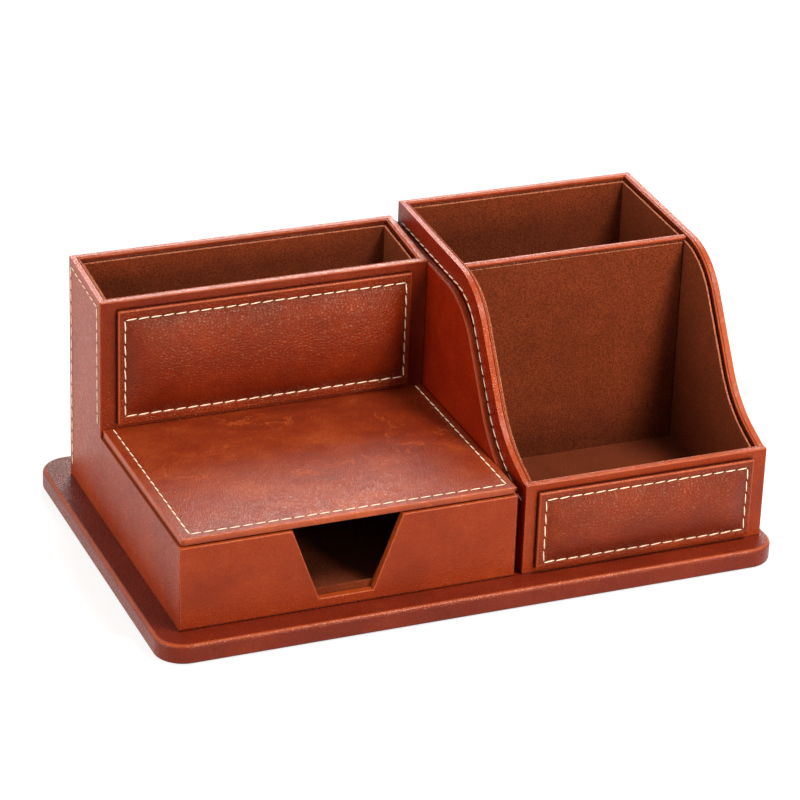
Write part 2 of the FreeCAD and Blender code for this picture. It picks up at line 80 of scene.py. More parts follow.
# ------------------------------------------------------------------ hand tools
def leave():
    """Goes back to object mode with nothing selected."""
    if bpy.context.mode != "OBJECT":
        bpy.ops.object.mode_set(mode="OBJECT")
    bpy.ops.object.select_all(action="DESELECT")


def work_on(piece):
    """Opens one piece, and nothing else, in edit mode."""
    leave()
    piece.select_set(True)
    bpy.context.view_layer.objects.active = piece
    bpy.ops.object.mode_set(mode="EDIT")


def pick(piece, kind, test):
    """Selects the corners, edges or faces that pass a test on their places, in millimetres."""
    bpy.ops.mesh.select_mode(type=kind)
    bpy.ops.mesh.select_all(action="DESELECT")
    shape = bmesh.from_edit_mesh(piece.data)
    parts = {"VERT": shape.verts, "EDGE": shape.edges, "FACE": shape.faces}[kind]
    for part in parts:
        places = [part.co / MM] if kind == "VERT" else [v.co / MM for v in part.verts]
        if test(places):
            part.select_set(True)
    bmesh.update_edit_mesh(piece.data)


def at(places, **where):
    """True if all places have the named coordinates, as in at(places, x=3, z=10)."""
    return all(abs(p["xyz".index(axis)] - value) < NEAR
               for p in places for axis, value in where.items())


def reach(places, axis):
    values = [p["xyz".index(axis)] for p in places]
    return max(values) - min(values)


def block(name, low, high):
    """A square-edged block between two corners: the start of a board."""
    leave()
    size = [(b - a) * MM for a, b in zip(low, high)]
    middle = [(a + b) / 2 * MM for a, b in zip(low, high)]
    bpy.ops.mesh.primitive_cube_add(size=1, location=middle, scale=size)
    piece = bpy.context.object
    piece.name = piece.data.name = name
    bpy.ops.object.transform_apply(location=True, rotation=True, scale=True)
    return piece


def saw(piece, place, away, close=True):
    """Cuts a piece along a plane and throws away the side that away points to."""
    work_on(piece)
    bpy.ops.mesh.select_all(action="SELECT")
    bpy.ops.mesh.bisect(plane_co=Vector(place) * MM, plane_no=Vector(away).normalized(),
                        use_fill=close, clear_outer=True, threshold=1e-7)


def score(piece, place, across):
    """Cuts a line round a piece without taking anything away."""
    work_on(piece)
    bpy.ops.mesh.select_all(action="SELECT")
    bpy.ops.mesh.bisect(plane_co=Vector(place) * MM, plane_no=Vector(across).normalized(),
                        threshold=1e-7)


def ease(piece, radius, test, steps=3):
    """Rounds the edges that pass a test."""
    work_on(piece)
    pick(piece, "EDGE", test)
    bpy.ops.mesh.bevel(offset=radius * MM, segments=steps, profile=0.5, affect="EDGES",
                       clamp_overlap=True)


def press_line(piece, axis, place, test, deep=0.25, wide=0.7, facing=(0, 0, 1)):
    """Presses a fine line across one axis, where the test passes and the leather faces so."""
    across = [float(axis == a) for a in "xyz"]
    for offset in (-wide / 2, 0.0, wide / 2):
        score(piece, [(place + offset) * a for a in across], across)
    pick(piece, "VERT", lambda c: at(c, **{axis: place}) and test(c))
    shape = bmesh.from_edit_mesh(piece.data)
    for v in shape.verts:
        v.select = v.select and v.normal.dot(Vector(facing)) > 0.45
    bmesh.update_edit_mesh(piece.data)
    bpy.ops.transform.shrink_fatten(value=-deep * MM)
    shape = bmesh.from_edit_mesh(piece.data)
    pressed = shape.verts.layers.float.get("pressed") or shape.verts.layers.float.new("pressed")
    for v in shape.verts:
        if v.select:
            v[pressed] = 1.0
    bmesh.update_edit_mesh(piece.data)


def mark(piece, label, test, value=1.0):
    """Writes a number on the corners that pass the test. value may be a rule for each place."""
    leave()
    if label not in piece.data.attributes:
        piece.data.attributes.new(label, "FLOAT", "POINT")
    marks = piece.data.attributes[label].data
    for v in piece.data.vertices:
        p = v.co / MM
        if test(p):
            marks[v.index].value = value(p) if callable(value) else value


def mark_rims(piece, label="worn"):
    """Marks a board's rim and rounded edges for a lighter tone: wear from hands, and a painted
    highlight.
    """
    places = [v.co / MM for v in piece.data.vertices]
    low = [min(p[a] for p in places) for a in range(3)]
    high = [max(p[a] for p in places) for a in range(3)]
    thin = min(range(3), key=lambda a: high[a] - low[a])
    mark(piece, label, lambda p: low[thin] + NEAR < p[thin] < high[thin] - NEAR)


def shade_inside(piece, axis, inner, below=math.inf):
    """Painted shade on a board's inner face, seen only in the gaps round its suede card."""
    a = "xyz".index(axis)
    mark(piece, "pressed", lambda p: abs(p[a] - inner) < NEAR and p.z < below)


def foot_line(piece, foot=DECK, fade=1.1):
    """Painted shade: a dark line along a board's foot, fading upwards."""
    score(piece, (0, 0, foot + fade), UP)
    mark(piece, "pressed", lambda p: p.z < foot + NEAR)


def front_outline(node):
    """A node's outline as seen from the front: left, right, foot and top."""
    low, high = (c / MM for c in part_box(node))
    return low.x, high.x, low.z, high.z


def shade_round(piece, outline, fade=0.9, under=0.3):
    """Painted shade: a dark line, fading outwards, on a front wall round the panel that is glued to
    it.
    """
    x0, x1, z0, z1 = outline
    for x in (x0 - fade, x0 + under, x1 - under, x1 + fade):
        score(piece, (x, 0, 0), (1, 0, 0))
    for z in (z0 - fade, z0 + under, z1 - under, z1 + fade):
        score(piece, (0, 0, z), UP)
    mark(piece, "pressed", lambda p: x0 < p.x < x1 and z0 < p.z < z1)


def finish_shape(piece, angle=40):
    """Smooth shading that keeps broad faces flat and hard edges hard."""
    leave()
    if "worn" not in piece.data.attributes:
        mark_rims(piece)
    piece.select_set(True)
    bpy.context.view_layer.objects.active = piece
    bpy.ops.object.shade_smooth_by_angle(angle=math.radians(angle))
    weigh = piece.modifiers.new("flat_faces", "WEIGHTED_NORMAL")
    weigh.keep_sharp = True
    bpy.ops.object.modifier_apply(modifier=weigh.name)


def hand_over(piece, node, finish, body="organiser"):
    """Gives a piece its finish, and its place in the model."""
    leave()
    coat(piece, finish)
    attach(piece, body)
    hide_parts(node)


def coat(piece, finish):
    piece.data.materials.clear()
    piece.data.materials.append(finish)


# ------------------------------------------------------------------ finishes
def tint(red, green, blue):
    """A colour written as on a screen, 0 to 255, as the linear colour the shader wants."""
    def linear(value):
        value /= 255
        return value / 12.92 if value <= 0.04045 else ((value + 0.055) / 1.055) ** 2.4
    return (linear(red), linear(green), linear(blue), 1.0)


def add(tree, kind, links=None, **settings):
    """A node with its settings, and its inputs linked or set by name or number."""
    node = tree.nodes.new(kind)
    for key, value in settings.items():
        setattr(node, key, value)
    for key, value in (links or {}).items():
        if isinstance(value, bpy.types.NodeSocket):
            tree.links.new(value, node.inputs[key])
        else:
            node.inputs[key].default_value = value
    return node


def sums(tree, operation, *values):
    return add(tree, "ShaderNodeMath", dict(enumerate(values)), operation=operation).outputs[0]


def spread(tree, value, low, high, to_low=0.0, to_high=1.0):
    """Stretches a value from one range to another, held at both ends."""
    return add(tree, "ShaderNodeMapRange", {"Value": value, "From Min": low, "From Max": high,
                                            "To Min": to_low, "To Max": to_high}).outputs[0]


def blend_colours(tree, share, first, second):
    """The Mix node's colour sockets are numbers 6 and 7, and its colour result is number 2."""
    return add(tree, "ShaderNodeMix", {0: share, 6: first, 7: second},
               data_type="RGBA").outputs[2]


def effect(name, values, outputs):
    """An empty node group: it takes a place and the given values, and puts out numbers."""
    tree = bpy.data.node_groups.new(name, "ShaderNodeTree")
    tree.interface.new_socket("Place", in_out="INPUT", socket_type="NodeSocketVector")
    for label, value in values.items():
        socket = tree.interface.new_socket(label, in_out="INPUT", socket_type="NodeSocketFloat")
        socket.default_value = value
    for label in outputs:
        tree.interface.new_socket(label, in_out="OUTPUT", socket_type="NodeSocketFloat")
    return tree, tree.nodes.new("NodeGroupInput").outputs, tree.nodes.new("NodeGroupOutput").inputs


def put_out(tree, out, **results):
    for label, value in results.items():
        tree.links.new(value, out[label])
    return tree


def noise(tree, place, scale, detail=2.0, rough=0.5):
    return add(tree, "ShaderNodeTexNoise", {"Vector": place, "Scale": scale, "Detail": detail,
                                            "Roughness": rough}).outputs["Fac"]


FAINT = 0.15                                   # a pressed line or painted shade shows from this value up


def make_hide():
    """Pebbled grain: small domed cells with creases between them, and fine pores."""
    tree, given, out = effect("hide_grain", {"Cells per metre": 900.0, "Crease": 0.6,
                                             "Pores": 0.3}, ("Height", "Creases"))
    wander = add(tree, "ShaderNodeTexNoise", {"Vector": given["Place"], "Scale": 260.0,
                                              "Detail": 1.0}).outputs["Color"]
    shift = add(tree, "ShaderNodeVectorMath", {0: wander, 1: (0.0012,) * 3},
                operation="MULTIPLY").outputs[0]
    moved = add(tree, "ShaderNodeVectorMath", {0: given["Place"], 1: shift},
                operation="ADD").outputs[0]
    cells = add(tree, "ShaderNodeTexVoronoi",
                {"Vector": moved, "Scale": given["Cells per metre"]},
                feature="DISTANCE_TO_EDGE").outputs["Distance"]
    dome = spread(tree, cells, 0.0, 0.28)
    creases = sums(tree, "SUBTRACT", 1.0, dome)
    pores = noise(tree, given["Place"], 3200.0, 1.0)
    height = sums(tree, "ADD", sums(tree, "MULTIPLY", dome, given["Crease"]),
                  sums(tree, "MULTIPLY", pores, given["Pores"]))
    return put_out(tree, out, Height=height, Creases=creases)


def make_burnish():
    """Cloudy dye, as rubbed in by hand: broad patches with soft streaks, and faint scuffs."""
    tree, given, out = effect("rubbed_dye", {"Patches per metre": 24.0, "Streaks": 0.4},
                              ("Patches", "Fine", "Scuffs"))
    broad = noise(tree, given["Place"], given["Patches per metre"], 4.0, 0.55)
    drawn = add(tree, "ShaderNodeMapping", {"Vector": given["Place"], "Scale": (1.0, 1.7, 1.3),
                                            "Rotation": (0.2, 0.3, 0.6)}).outputs[0]
    streaks = noise(tree, drawn, 55.0, 5.0, 0.62)
    plain = sums(tree, "SUBTRACT", 1.0, given["Streaks"])
    both = sums(tree, "ADD", sums(tree, "MULTIPLY", broad, plain),
                sums(tree, "MULTIPLY", streaks, given["Streaks"]))
    speckle = noise(tree, given["Place"], 480.0, 4.0, 0.72)
    veins = noise(tree, given["Place"], 30.0, 5.0, 0.58)
    line = spread(tree, sums(tree, "ABSOLUTE", sums(tree, "SUBTRACT", veins, 0.5)),
                  0.0, 0.012, 1.0, 0.0)
    here = spread(tree, noise(tree, drawn, 34.0, 2.0, 0.5), 0.5, 0.62)
    return put_out(tree, out, Patches=spread(tree, both, 0.36, 0.64),
                   Fine=spread(tree, speckle, 0.34, 0.66),
                   Scuffs=sums(tree, "MULTIPLY", line, here))


def make_nap():
    """Suede: short fibres that lie in all directions, with brushed light and dark patches."""
    tree, given, out = effect("suede_nap", {"Fibres per metre": 1500.0},
                              ("Flecks", "Brushing", "Height"))
    flecks = noise(tree, given["Place"], given["Fibres per metre"], 2.0, 0.75)
    brushing = noise(tree, given["Place"], 70.0, 4.0, 0.6)
    return put_out(tree, out, Flecks=spread(tree, flecks, 0.3, 0.7),
                   Brushing=spread(tree, brushing, 0.35, 0.65), Height=flecks)


def make_handled():
    """Edge wear with painted highlights: rubbed places that come and go along the edges. Dye dark
    in the pressed lines, and painted shade in gaps, at feet and round panels.
    """
    tree, given, out = effect("handled_edges", {"Worn": 0.0, "Pressed": 0.0},
                              ("Rubbed", "Lines"))
    uneven = spread(tree, noise(tree, given["Place"], 160.0, 4.0, 0.6), 0.3, 0.62, 0.65, 1.0)
    return put_out(tree, out, Rubbed=sums(tree, "MULTIPLY", given["Worn"], uneven),
                   Lines=spread(tree, given["Pressed"], FAINT, 0.8))


HIDE, BURNISH, NAP, HANDLED = make_hide(), make_burnish(), make_nap(), make_handled()


def new_finish(name):
    """A material with its tree, the place on the piece, and its surface shader."""
    finish = bpy.data.materials.new(name)
    finish.use_nodes = True
    tree = finish.node_tree
    tree.nodes.clear()
    place = tree.nodes.new("ShaderNodeTexCoord").outputs["Object"]
    surface = tree.nodes.new("ShaderNodeBsdfPrincipled")
    shown = tree.nodes.new("ShaderNodeOutputMaterial")
    tree.links.new(surface.outputs[0], shown.inputs[0])
    return finish, tree, place, surface


def use(tree, group, place, **values):
    """A shared effect, placed in a material with that material's own values."""
    links = {key.replace("_", " "): value for key, value in values.items()}
    return add(tree, "ShaderNodeGroup", {"Place": place, **links}, node_tree=group).outputs


def marks_of(tree, label):
    return add(tree, "ShaderNodeAttribute", attribute_name=label).outputs["Fac"]


def roughen(tree, surface, height, strength, depth):
    relief = add(tree, "ShaderNodeBump", {"Height": height, "Strength": strength,
                                          "Distance": depth})
    tree.links.new(relief.outputs[0], surface.inputs["Normal"])


IN_LINES = tint(64, 14, 4)                     # dye that gathers in pressed lines, and painted shade in gaps, at feet and round panels


def leather(name, deep, middle, light, edge=tint(176, 78, 34), patches=24.0, streaks=0.4,
            fine=0.4, scuffs=0.1, cells=900.0, crease=0.6, pores=0.35, bump=0.45,
            depth=0.0003, rough=(0.24, 0.36), ior=1.28, gloss_tint=(1.0, 0.92, 0.78, 1.0)):
    """Dyed leather in three tones. edge is the tone of scuffs and worn edges, and also paints the
    highlight on rims; depth is its grain's.
    """
    finish, tree, place, surface = new_finish(name)
    dye = use(tree, BURNISH, place, Patches_per_metre=patches, Streaks=streaks)
    grain = use(tree, HIDE, place, Cells_per_metre=cells, Crease=crease, Pores=pores)
    handled = use(tree, HANDLED, place, Worn=marks_of(tree, "worn"),
                  Pressed=marks_of(tree, "pressed"))
    colour = blend_colours(tree, spread(tree, dye["Patches"], 0.0, 0.5), deep, middle)
    colour = blend_colours(tree, spread(tree, dye["Patches"], 0.5, 1.0), colour, light)
    # Worn edges and scuffs take the light tone, with painted highlights on rims; pressed lines take
    # dark dye, with painted shade in gaps, at feet and round panels.
    for mask, share, over in ((dye["Fine"], fine, deep), (grain["Creases"], 0.5, deep),
                              (dye["Scuffs"], scuffs, edge), (handled["Rubbed"], 0.6, edge),
                              (handled["Lines"], 0.85, IN_LINES)):
        colour = blend_colours(tree, sums(tree, "MULTIPLY", mask, share), colour, over)
    matt = spread(tree, dye["Fine"], 0.0, 1.0, *rough)
    matt = sums(tree, "SUBTRACT", matt, sums(tree, "MULTIPLY", handled["Rubbed"], 0.1))
    wax = sums(tree, "MULTIPLY", sums(tree, "MULTIPLY", handled["Rubbed"], 0.08),
               sums(tree, "SUBTRACT", 1.0, handled["Lines"]))
    for key, value in (("Base Color", colour), ("Roughness", matt), ("Coat Weight", wax)):
        tree.links.new(value, surface.inputs[key])
    roughen(tree, surface, grain["Height"], bump, depth)
    for key, value in (("IOR", ior), ("Specular Tint", gloss_tint), ("Coat Roughness", 0.22)):
        surface.inputs[key].default_value = value
    return finish


FRAYED = tint(204, 128, 92)                    # loose fibres at a cut edge of the suede


def suede(name, dark, light, fibres=1400.0):
    """Brushed suede, paler and frayed along the edges where it was cut."""
    finish, tree, place, surface = new_finish(name)
    nap = use(tree, NAP, place, Fibres_per_metre=fibres)
    flecked = blend_colours(tree, nap["Flecks"], dark, light)
    brushed = blend_colours(tree, sums(tree, "MULTIPLY", nap["Brushing"], 0.3), flecked, dark)
    frayed = sums(tree, "MULTIPLY", marks_of(tree, "cut"),
                  spread(tree, nap["Flecks"], 0.2, 0.8, 0.25, 1.0))
    brushed = blend_colours(tree, frayed, brushed, FRAYED)
    tree.links.new(brushed, surface.inputs["Base Color"])
    roughen(tree, surface, nap["Height"], 0.6, 0.0006)
    for key, value in (("Roughness", 1.0), ("Specular IOR Level", 0.1), ("Sheen Weight", 0.18),
                       ("Sheen Roughness", 0.5), ("Sheen Tint", tint(230, 160, 120))):
        surface.inputs[key].default_value = value
    return finish


def card(name, first, second):
    """Plain lining card, felt or thread: a fine two-tone fibre."""
    finish, tree, place, surface = new_finish(name)
    nap = use(tree, NAP, place, Fibres_per_metre=2600.0)
    tree.links.new(blend_colours(tree, nap["Flecks"], first, second),
                   surface.inputs["Base Color"])
    roughen(tree, surface, nap["Height"], 0.4, 0.0003)
    surface.inputs["Roughness"].default_value = 0.85
    return finish


CASE = leather("cognac_leather", tint(122, 38, 11), tint(141, 49, 15), tint(157, 61, 23))
# a darker copy of the case leather for the tray's front and rear walls: painted shade
FRAME = leather("tray_front_leather", tint(104, 28, 7), tint(121, 39, 11), tint(138, 50, 18))
PANEL = leather("top_sheet_leather", tint(110, 31, 8), tint(141, 49, 15), tint(170, 74, 30),
                patches=22.0, streaks=0.5, fine=0.5, scuffs=0.75, bump=0.5,
                rough=(0.34, 0.46), ior=1.4)
PLATE = leather("plate_leather", tint(98, 27, 11), tint(115, 34, 14), tint(130, 44, 20))
PADDED = leather("padded_leather", tint(95, 22, 2), tint(122, 34, 5), tint(146, 50, 12),
                 cells=700.0, crease=0.9, pores=0.1, bump=0.9, depth=0.00017,
                 rough=(0.34, 0.44), ior=1.37, gloss_tint=(1.0, 0.8, 0.58, 1.0))
# a darker copy of the case leather for the side cover and the stand's left wall: painted shade of
# the narrow gap between the units
COVER = leather("cover_leather", tint(108, 20, 4), tint(126, 28, 6), tint(142, 40, 10), ior=1.22)
SUEDE = suede("brown_suede", tint(76, 26, 8), tint(132, 57, 26))
NAP_EDGE = suede("suede_cut_edge", tint(140, 68, 40), tint(212, 134, 96))
DARK_CARD = card("lining_card", tint(60, 26, 16), tint(88, 42, 26))
FELT = card("foot_felt", tint(28, 18, 14), tint(52, 36, 28))
THREAD = card("cream_thread", tint(232, 206, 172), tint(252, 236, 212))
# dark discs at the needle holes: the holes themselves, and the thread's shade painted beside them
HOLE = card("needle_hole", tint(24, 8, 4), tint(40, 12, 6))


# ------------------------------------------------------------------ base plate
PLATE_CORNER, PLATE_TOP, PLATE_FOOT = 13.5, 2.0, 0.9          # radii of its edges


def make_plate():
    low, high = (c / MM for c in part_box("base_plate"))
    plate = block("plate", low, high)
    ease(plate, PLATE_CORNER, lambda c: reach(c, "z") > 1, 14)
    ease(plate, PLATE_TOP, lambda c: at(c, z=high.z), 4)
    ease(plate, PLATE_FOOT, lambda c: at(c, z=low.z), 2)
    # a painted highlight, with wear, along the rounded top edge
    mark(plate, "worn", lambda p: high.z - 1.1 < p.z < high.z - NEAR)
    # painted shade along the foot
    mark(plate, "pressed", lambda p: p.z < low.z + 0.8)
    finish_shape(plate, 60)
    hand_over(plate, "base_plate", PLATE)


# ------------------------------------------------------------------ drawer unit and pen tray
def wrap(piece, test, axis, outer):
    """Rolls a board's outer edges, and its inner edges more tightly."""
    on_outer = lambda c: all(abs(p["xy".index(axis)] - outer) < NEAR for p in c)
    ease(piece, CRISP, lambda c: test(c) and not on_outer(c))
    ease(piece, ROLL, lambda c: test(c) and on_outer(c), 4)


TURN_IN = 1.85                                 # the leather's turned edge ends this far below a rim
RIM_LINE = 0.95                                # from a rim's inner edge to its pressed line


def turned_edge(piece, face, rim):
    """The line where the leather's turned edge ends on an inner face, and painted shade below it.
    """
    ys = [v.co.y / MM for v in piece.data.vertices]
    way = 1 if face > (min(ys) + max(ys)) / 2 else -1
    press_line(piece, "z", rim - TURN_IN, lambda c: at(c, y=face), 0.4, 1.3, (0, way, 0))
    shade_inside(piece, "y", face, rim - TURN_IN)


def rim_line(piece, axis, outer, inner):
    """The pressed line that follows a rim, just outside its inner edge."""
    way = 1 if inner > outer else -1
    press_line(piece, axis, inner - way * RIM_LINE, lambda c: c[0].z > DECK + 2, 0.3, 0.6)


def cross_board(name, ends, outer, inner, foot, top, rim, slope=None):
    """A wrapped board across a unit, its ends mitred to the side boards.

    rim is its rim's height at the lower face, and slope a place on a sloped rim and its angle.
    """
    piece = block(name, (ends[0], min(outer, inner), foot), (ends[1], max(outer, inner), top))
    if slope:
        place, angle = slope
        saw(piece, place, (0, -math.sin(angle), math.cos(angle)))
    wrap(piece, lambda c: min(p.z for p in c) > foot + 20
         or (reach(c, "z") > 5 and at(c, y=outer)), "y", outer)
    turned_edge(piece, inner, rim)
    rim_line(piece, "y", outer, inner)
    way = 1 if inner > outer else -1
    for end, side in zip(ends, (-1, 1)):
        saw(piece, (end - side * HAIR, outer, 0), (side, way, 0))
    foot_line(piece)
    return piece


def side_board(name, outer, inner):
    """L-shaped side of the drawer unit, mitred to the drawer front, tray front and rear."""
    way = 1 if inner > outer else -1
    piece = block(name, (min(outer, inner), FRONT, DECK), (max(outer, inner), BACK, SHELF))
    score(piece, (outer, TRAY_Y + HAIR, 0), (way, -1, 0))
    pick(piece, "FACE", lambda c: at(c, z=SHELF) and max(p.y for p in c) > BACK - NEAR)
    bpy.ops.mesh.extrude_region_move(
        TRANSFORM_OT_translate={"value": (0, 0, (tray_rim(BACK) + 5 - SHELF) * MM)})
    saw(piece, (0, TRAY_Y, TRAY_RIM), (0, -math.sin(TRAY_SLOPE), math.cos(TRAY_SLOPE)))

    def raised(c):
        return min(p.z for p in c) > SHELF - NEAR

    def at_end(c):
        return at(c, y=FRONT) or at(c, y=BACK)

    def at_tray_corner(c):
        return at(c, x=outer, y=TRAY_Y + HAIR) and reach(c, "z") > 5 and raised(c)

    def wrapped(c):
        rim = raised(c) and reach(c, "x") < NEAR and reach(c, "y") > 1
        corner = reach(c, "z") > 5 and at(c, x=outer) and at_end(c)
        return rim or corner or (reach(c, "x") > 1 and raised(c) and at_end(c))
    ease(piece, ROLL * (math.sqrt(2) - 1), at_tray_corner, 2)
    wrap(piece, wrapped, "x", outer)
    rim_line(piece, "x", outer, inner)
    saw(piece, (outer, FRONT + HAIR * 2, 0), (way, -1, 0))
    saw(piece, (outer, BACK - HAIR, 0), (way, 1, 0))
    return piece


def make_case():
    left, right = DRAWER_X
    for name, outer, inner in (("left_side", left, left + BOARD),
                               ("right_side", right, right - BOARD)):
        piece = side_board(name, outer, inner)
        foot_line(piece)
        shade_inside(piece, "x", inner)
        finish_shape(piece)
        hand_over(piece, f"{name}_panel", CASE)

    slope = ((0, TRAY_Y, TRAY_RIM), TRAY_SLOPE)
    for name, outer, inner, foot in (("tray_front", TRAY_Y, TRAY_Y + BOARD, SHELF),
                                     ("tray_rear", BACK, BACK - BOARD, DECK)):
        rim = min(tray_rim(outer), tray_rim(inner))
        piece = cross_board(name, DRAWER_X, outer, inner, foot, TRAY_RIM + 10, rim, slope)
        if name == "tray_front":
            shade_round(piece, front_outline("tray_panel_cushion"))
        finish_shape(piece)
        hand_over(piece, f"{name}_wall", FRAME)


# ------------------------------------------------------------------ swept walls
KNEE, SHOULDER = 50.0, 36.0                    # radii of a swept rim's hollow and of its crown
STEEP, TOE = math.radians(58), math.radians(22)         # its slope between them, and at its foot
STAND_RUN, COVER_RUN = 9.5, 13.3               # the straight length at each rim's foot
BEND_STEPS = 16                                # faces round each of its bends


def sweep_places(front, low, high, run, slope, land=0.0, down=0.0):
    """Where a swept rim turns, as places of y and z.

    From the front: foot, a straight run, the hollow knee, a steep length, the round shoulder,
    and a straight level to the rear. land is a flat before the foot. down moves it all inward.
    """
    start = front + land
    low, high = low - down / math.cos(TOE), high - down / math.cos(slope)
    run += down * math.sin(TOE)
    big, small = KNEE + down, SHOULDER - down
    knee_start = (start + run, low + run * math.tan(TOE))
    knee_end = (knee_start[0] + big * (math.sin(STEEP) - math.sin(TOE)),
                knee_start[1] + big * (math.cos(TOE) - math.cos(STEEP)))
    turn = (small * (math.sin(STEEP) - math.sin(slope)),
            small * (math.cos(slope) - math.cos(STEEP)))
    short = (high - (BACK - knee_end[0] - turn[0]) * math.tan(slope)
             - knee_end[1] - turn[1])
    steep = short / (math.sin(STEEP) - math.cos(STEEP) * math.tan(slope))
    shoulder_start = (knee_end[0] + steep * math.cos(STEEP),
                      knee_end[1] + steep * math.sin(STEEP))
    return {
        "foot": (start, low), "knee_start": knee_start, "knee_end": knee_end,
        "shoulder_start": shoulder_start,
        "shoulder_end": (shoulder_start[0] + turn[0], shoulder_start[1] + turn[1]),
        "rear": (BACK, high), "slope": slope,
        "knee": (knee_end[0] - big * math.sin(STEEP), knee_end[1] + big * math.cos(STEEP)),
        "knee_radius": big,
        "shoulder": (shoulder_start[0] + small * math.sin(STEEP),
                     shoulder_start[1] - small * math.cos(STEEP)),
        "shoulder_radius": small,
    }


def swept_board(name, x0, x1, front, turns, foot=DECK):
    """A side wall: its rim is drawn out from the rear, then let down to its foot."""
    leave()
    rear, level, slope = turns["rear"], turns["shoulder_end"], turns["slope"]
    length = math.hypot(rear[0] - level[0], rear[1] - level[1])
    bpy.ops.mesh.primitive_plane_add(
        size=1, location=((x0 + x1) / 2 * MM, (rear[0] + level[0]) / 2 * MM,
                          (rear[1] + level[1]) / 2 * MM), rotation=(slope, 0, 0))
    piece = bpy.context.object
    piece.name = piece.data.name = name
    piece.scale = ((x1 - x0) * MM, length * MM, 1)
    bpy.ops.object.transform_apply(location=True, rotation=True, scale=True)
    work_on(piece)
    pick(piece, "EDGE", lambda c: reach(c, "x") > 0.5 and max(v.y for v in c) < level[0] + NEAR)

    def spin(centre, angle, steps):
        bpy.ops.mesh.spin(steps=steps, angle=angle, center=(0, centre[0] * MM, centre[1] * MM),
                          axis=(1, 0, 0))

    def draw(start, end):
        bpy.ops.mesh.extrude_region_move(TRANSFORM_OT_translate={
            "value": (0, (end[0] - start[0]) * MM, (end[1] - start[1]) * MM)})

    spin(turns["shoulder"], slope - STEEP, BEND_STEPS)
    draw(turns["shoulder_start"], turns["knee_end"])
    spin(turns["knee"], STEEP - TOE, BEND_STEPS)
    draw(turns["knee_start"], turns["foot"])
    if turns["foot"][0] > front + NEAR:
        draw(turns["foot"], (front, turns["foot"][1]))
    bpy.ops.mesh.select_all(action="SELECT")
    bpy.ops.mesh.extrude_region_move(TRANSFORM_OT_translate={"value": (0, 0, -1 * MM)})
    bpy.ops.transform.resize(value=(1, 1, 0), center_override=(0, 0, foot * MM))
    bpy.ops.mesh.select_all(action="SELECT")
    bpy.ops.mesh.remove_doubles(threshold=1e-6)
    bpy.ops.mesh.normals_make_consistent(inside=False)
    return piece


def along_sweep(c, foot=DECK):
    """True for the edges that run along a swept rim."""
    return min(p.z for p in c) > foot + 5 and reach(c, "x") < NEAR and reach(c, "y") > 0.3


STAND_SWEEP = sweep_places(FRONT, STAND_FOOT_RIM, STAND_REAR_RIM, STAND_RUN, STAND_SLOPE, BOARD)


def make_stand_sides():
    left, right = STAND_X
    for name, outer, inner, finish in (("stand_left", left, left + BOARD, COVER),
                                       ("stand_right", right, right - BOARD, CASE)):
        def wrapped(c):
            end = at(c, y=FRONT) or at(c, y=BACK)
            across = end and reach(c, "x") > 1 and min(p.z for p in c) > DECK + 5
            corner = end and reach(c, "z") > 5 and at(c, x=outer)
            return along_sweep(c) or across or corner

        piece = swept_board(name, min(outer, inner), max(outer, inner), FRONT, STAND_SWEEP)
        wrap(piece, wrapped, "x", outer)
        rim_line(piece, "x", outer, inner)
        way = 1 if inner > outer else -1
        saw(piece, (outer, FRONT + HAIR, 0), (way, -1, 0))
        saw(piece, (outer, BACK - HAIR, 0), (way, 1, 0))
        foot_line(piece)
        shade_inside(piece, "x", inner)
        finish_shape(piece)
        hand_over(piece, f"{name}_wall", finish)


def make_stand_ends():
    front = cross_board("stand_front", STAND_X, FRONT, FRONT + BOARD, DECK, STAND_FOOT_RIM,
                        STAND_FOOT_RIM)
    shade_round(front, front_outline("stand_panel_cushion"))
    finish_shape(front)
    hand_over(front, "stand_front_wall", CASE)
    rear = cross_board("stand_rear", STAND_X, BACK, BACK - BOARD, DECK, STAND_REAR_RIM + 5,
                       stand_rim(BACK - BOARD), ((0, BACK, STAND_REAR_RIM), STAND_SLOPE))
    finish_shape(rear)
    hand_over(rear, "stand_rear_wall", CASE)


def make_side_cover():
    foot_rim, rear_rim = DECK + 36, tray_rim(BACK) - 3.3
    turns = sweep_places(COVER_FRONT, foot_rim, rear_rim, COVER_RUN, STAND_SLOPE)
    piece = swept_board("side_cover", *COVER_X, COVER_FRONT, turns)
    ease(piece, THIN_ROLL, lambda c: along_sweep(c)
         or (reach(c, "z") > 5 and at(c, y=COVER_FRONT)), 3)
    # painted light: the cover's rim and its face towards the stand are lightened, as they lie in
    # the stand's shade
    mark(piece, "worn", lambda p: p.x > COVER_X[0] + NEAR, 0.6)
    finish_shape(piece)
    hand_over(piece, "curved_side_cover", COVER)


def make_divider():
    low, high = (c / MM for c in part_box("divider_board"))
    piece = block("divider", low, high)
    ease(piece, THIN_ROLL, lambda c: at(c, z=high.z) and reach(c, "x") > 1)
    for face in (low.y, high.y):
        turned_edge(piece, face, high.z)
    press_line(piece, "y", low.y + 1.5, lambda c: c[0].z > high.z - 1)
    finish_shape(piece)
    hand_over(piece, "divider_board", CASE)


# ------------------------------------------------------------------ drawer
NOTCH_X = -59.4                                # middle of the finger notch
NOTCH_TOP, NOTCH_FOOT, NOTCH_SILL = 25.7, 12.7, 15.0          # its half widths and its sill
LINING_ASIDE, LINING_UP = 1.5, 3.0             # the lining's notch is wider and shallower so
BOX_TOP, BOX_FLOOR = 0.6, 0.3                  # radii of the inner box's edges


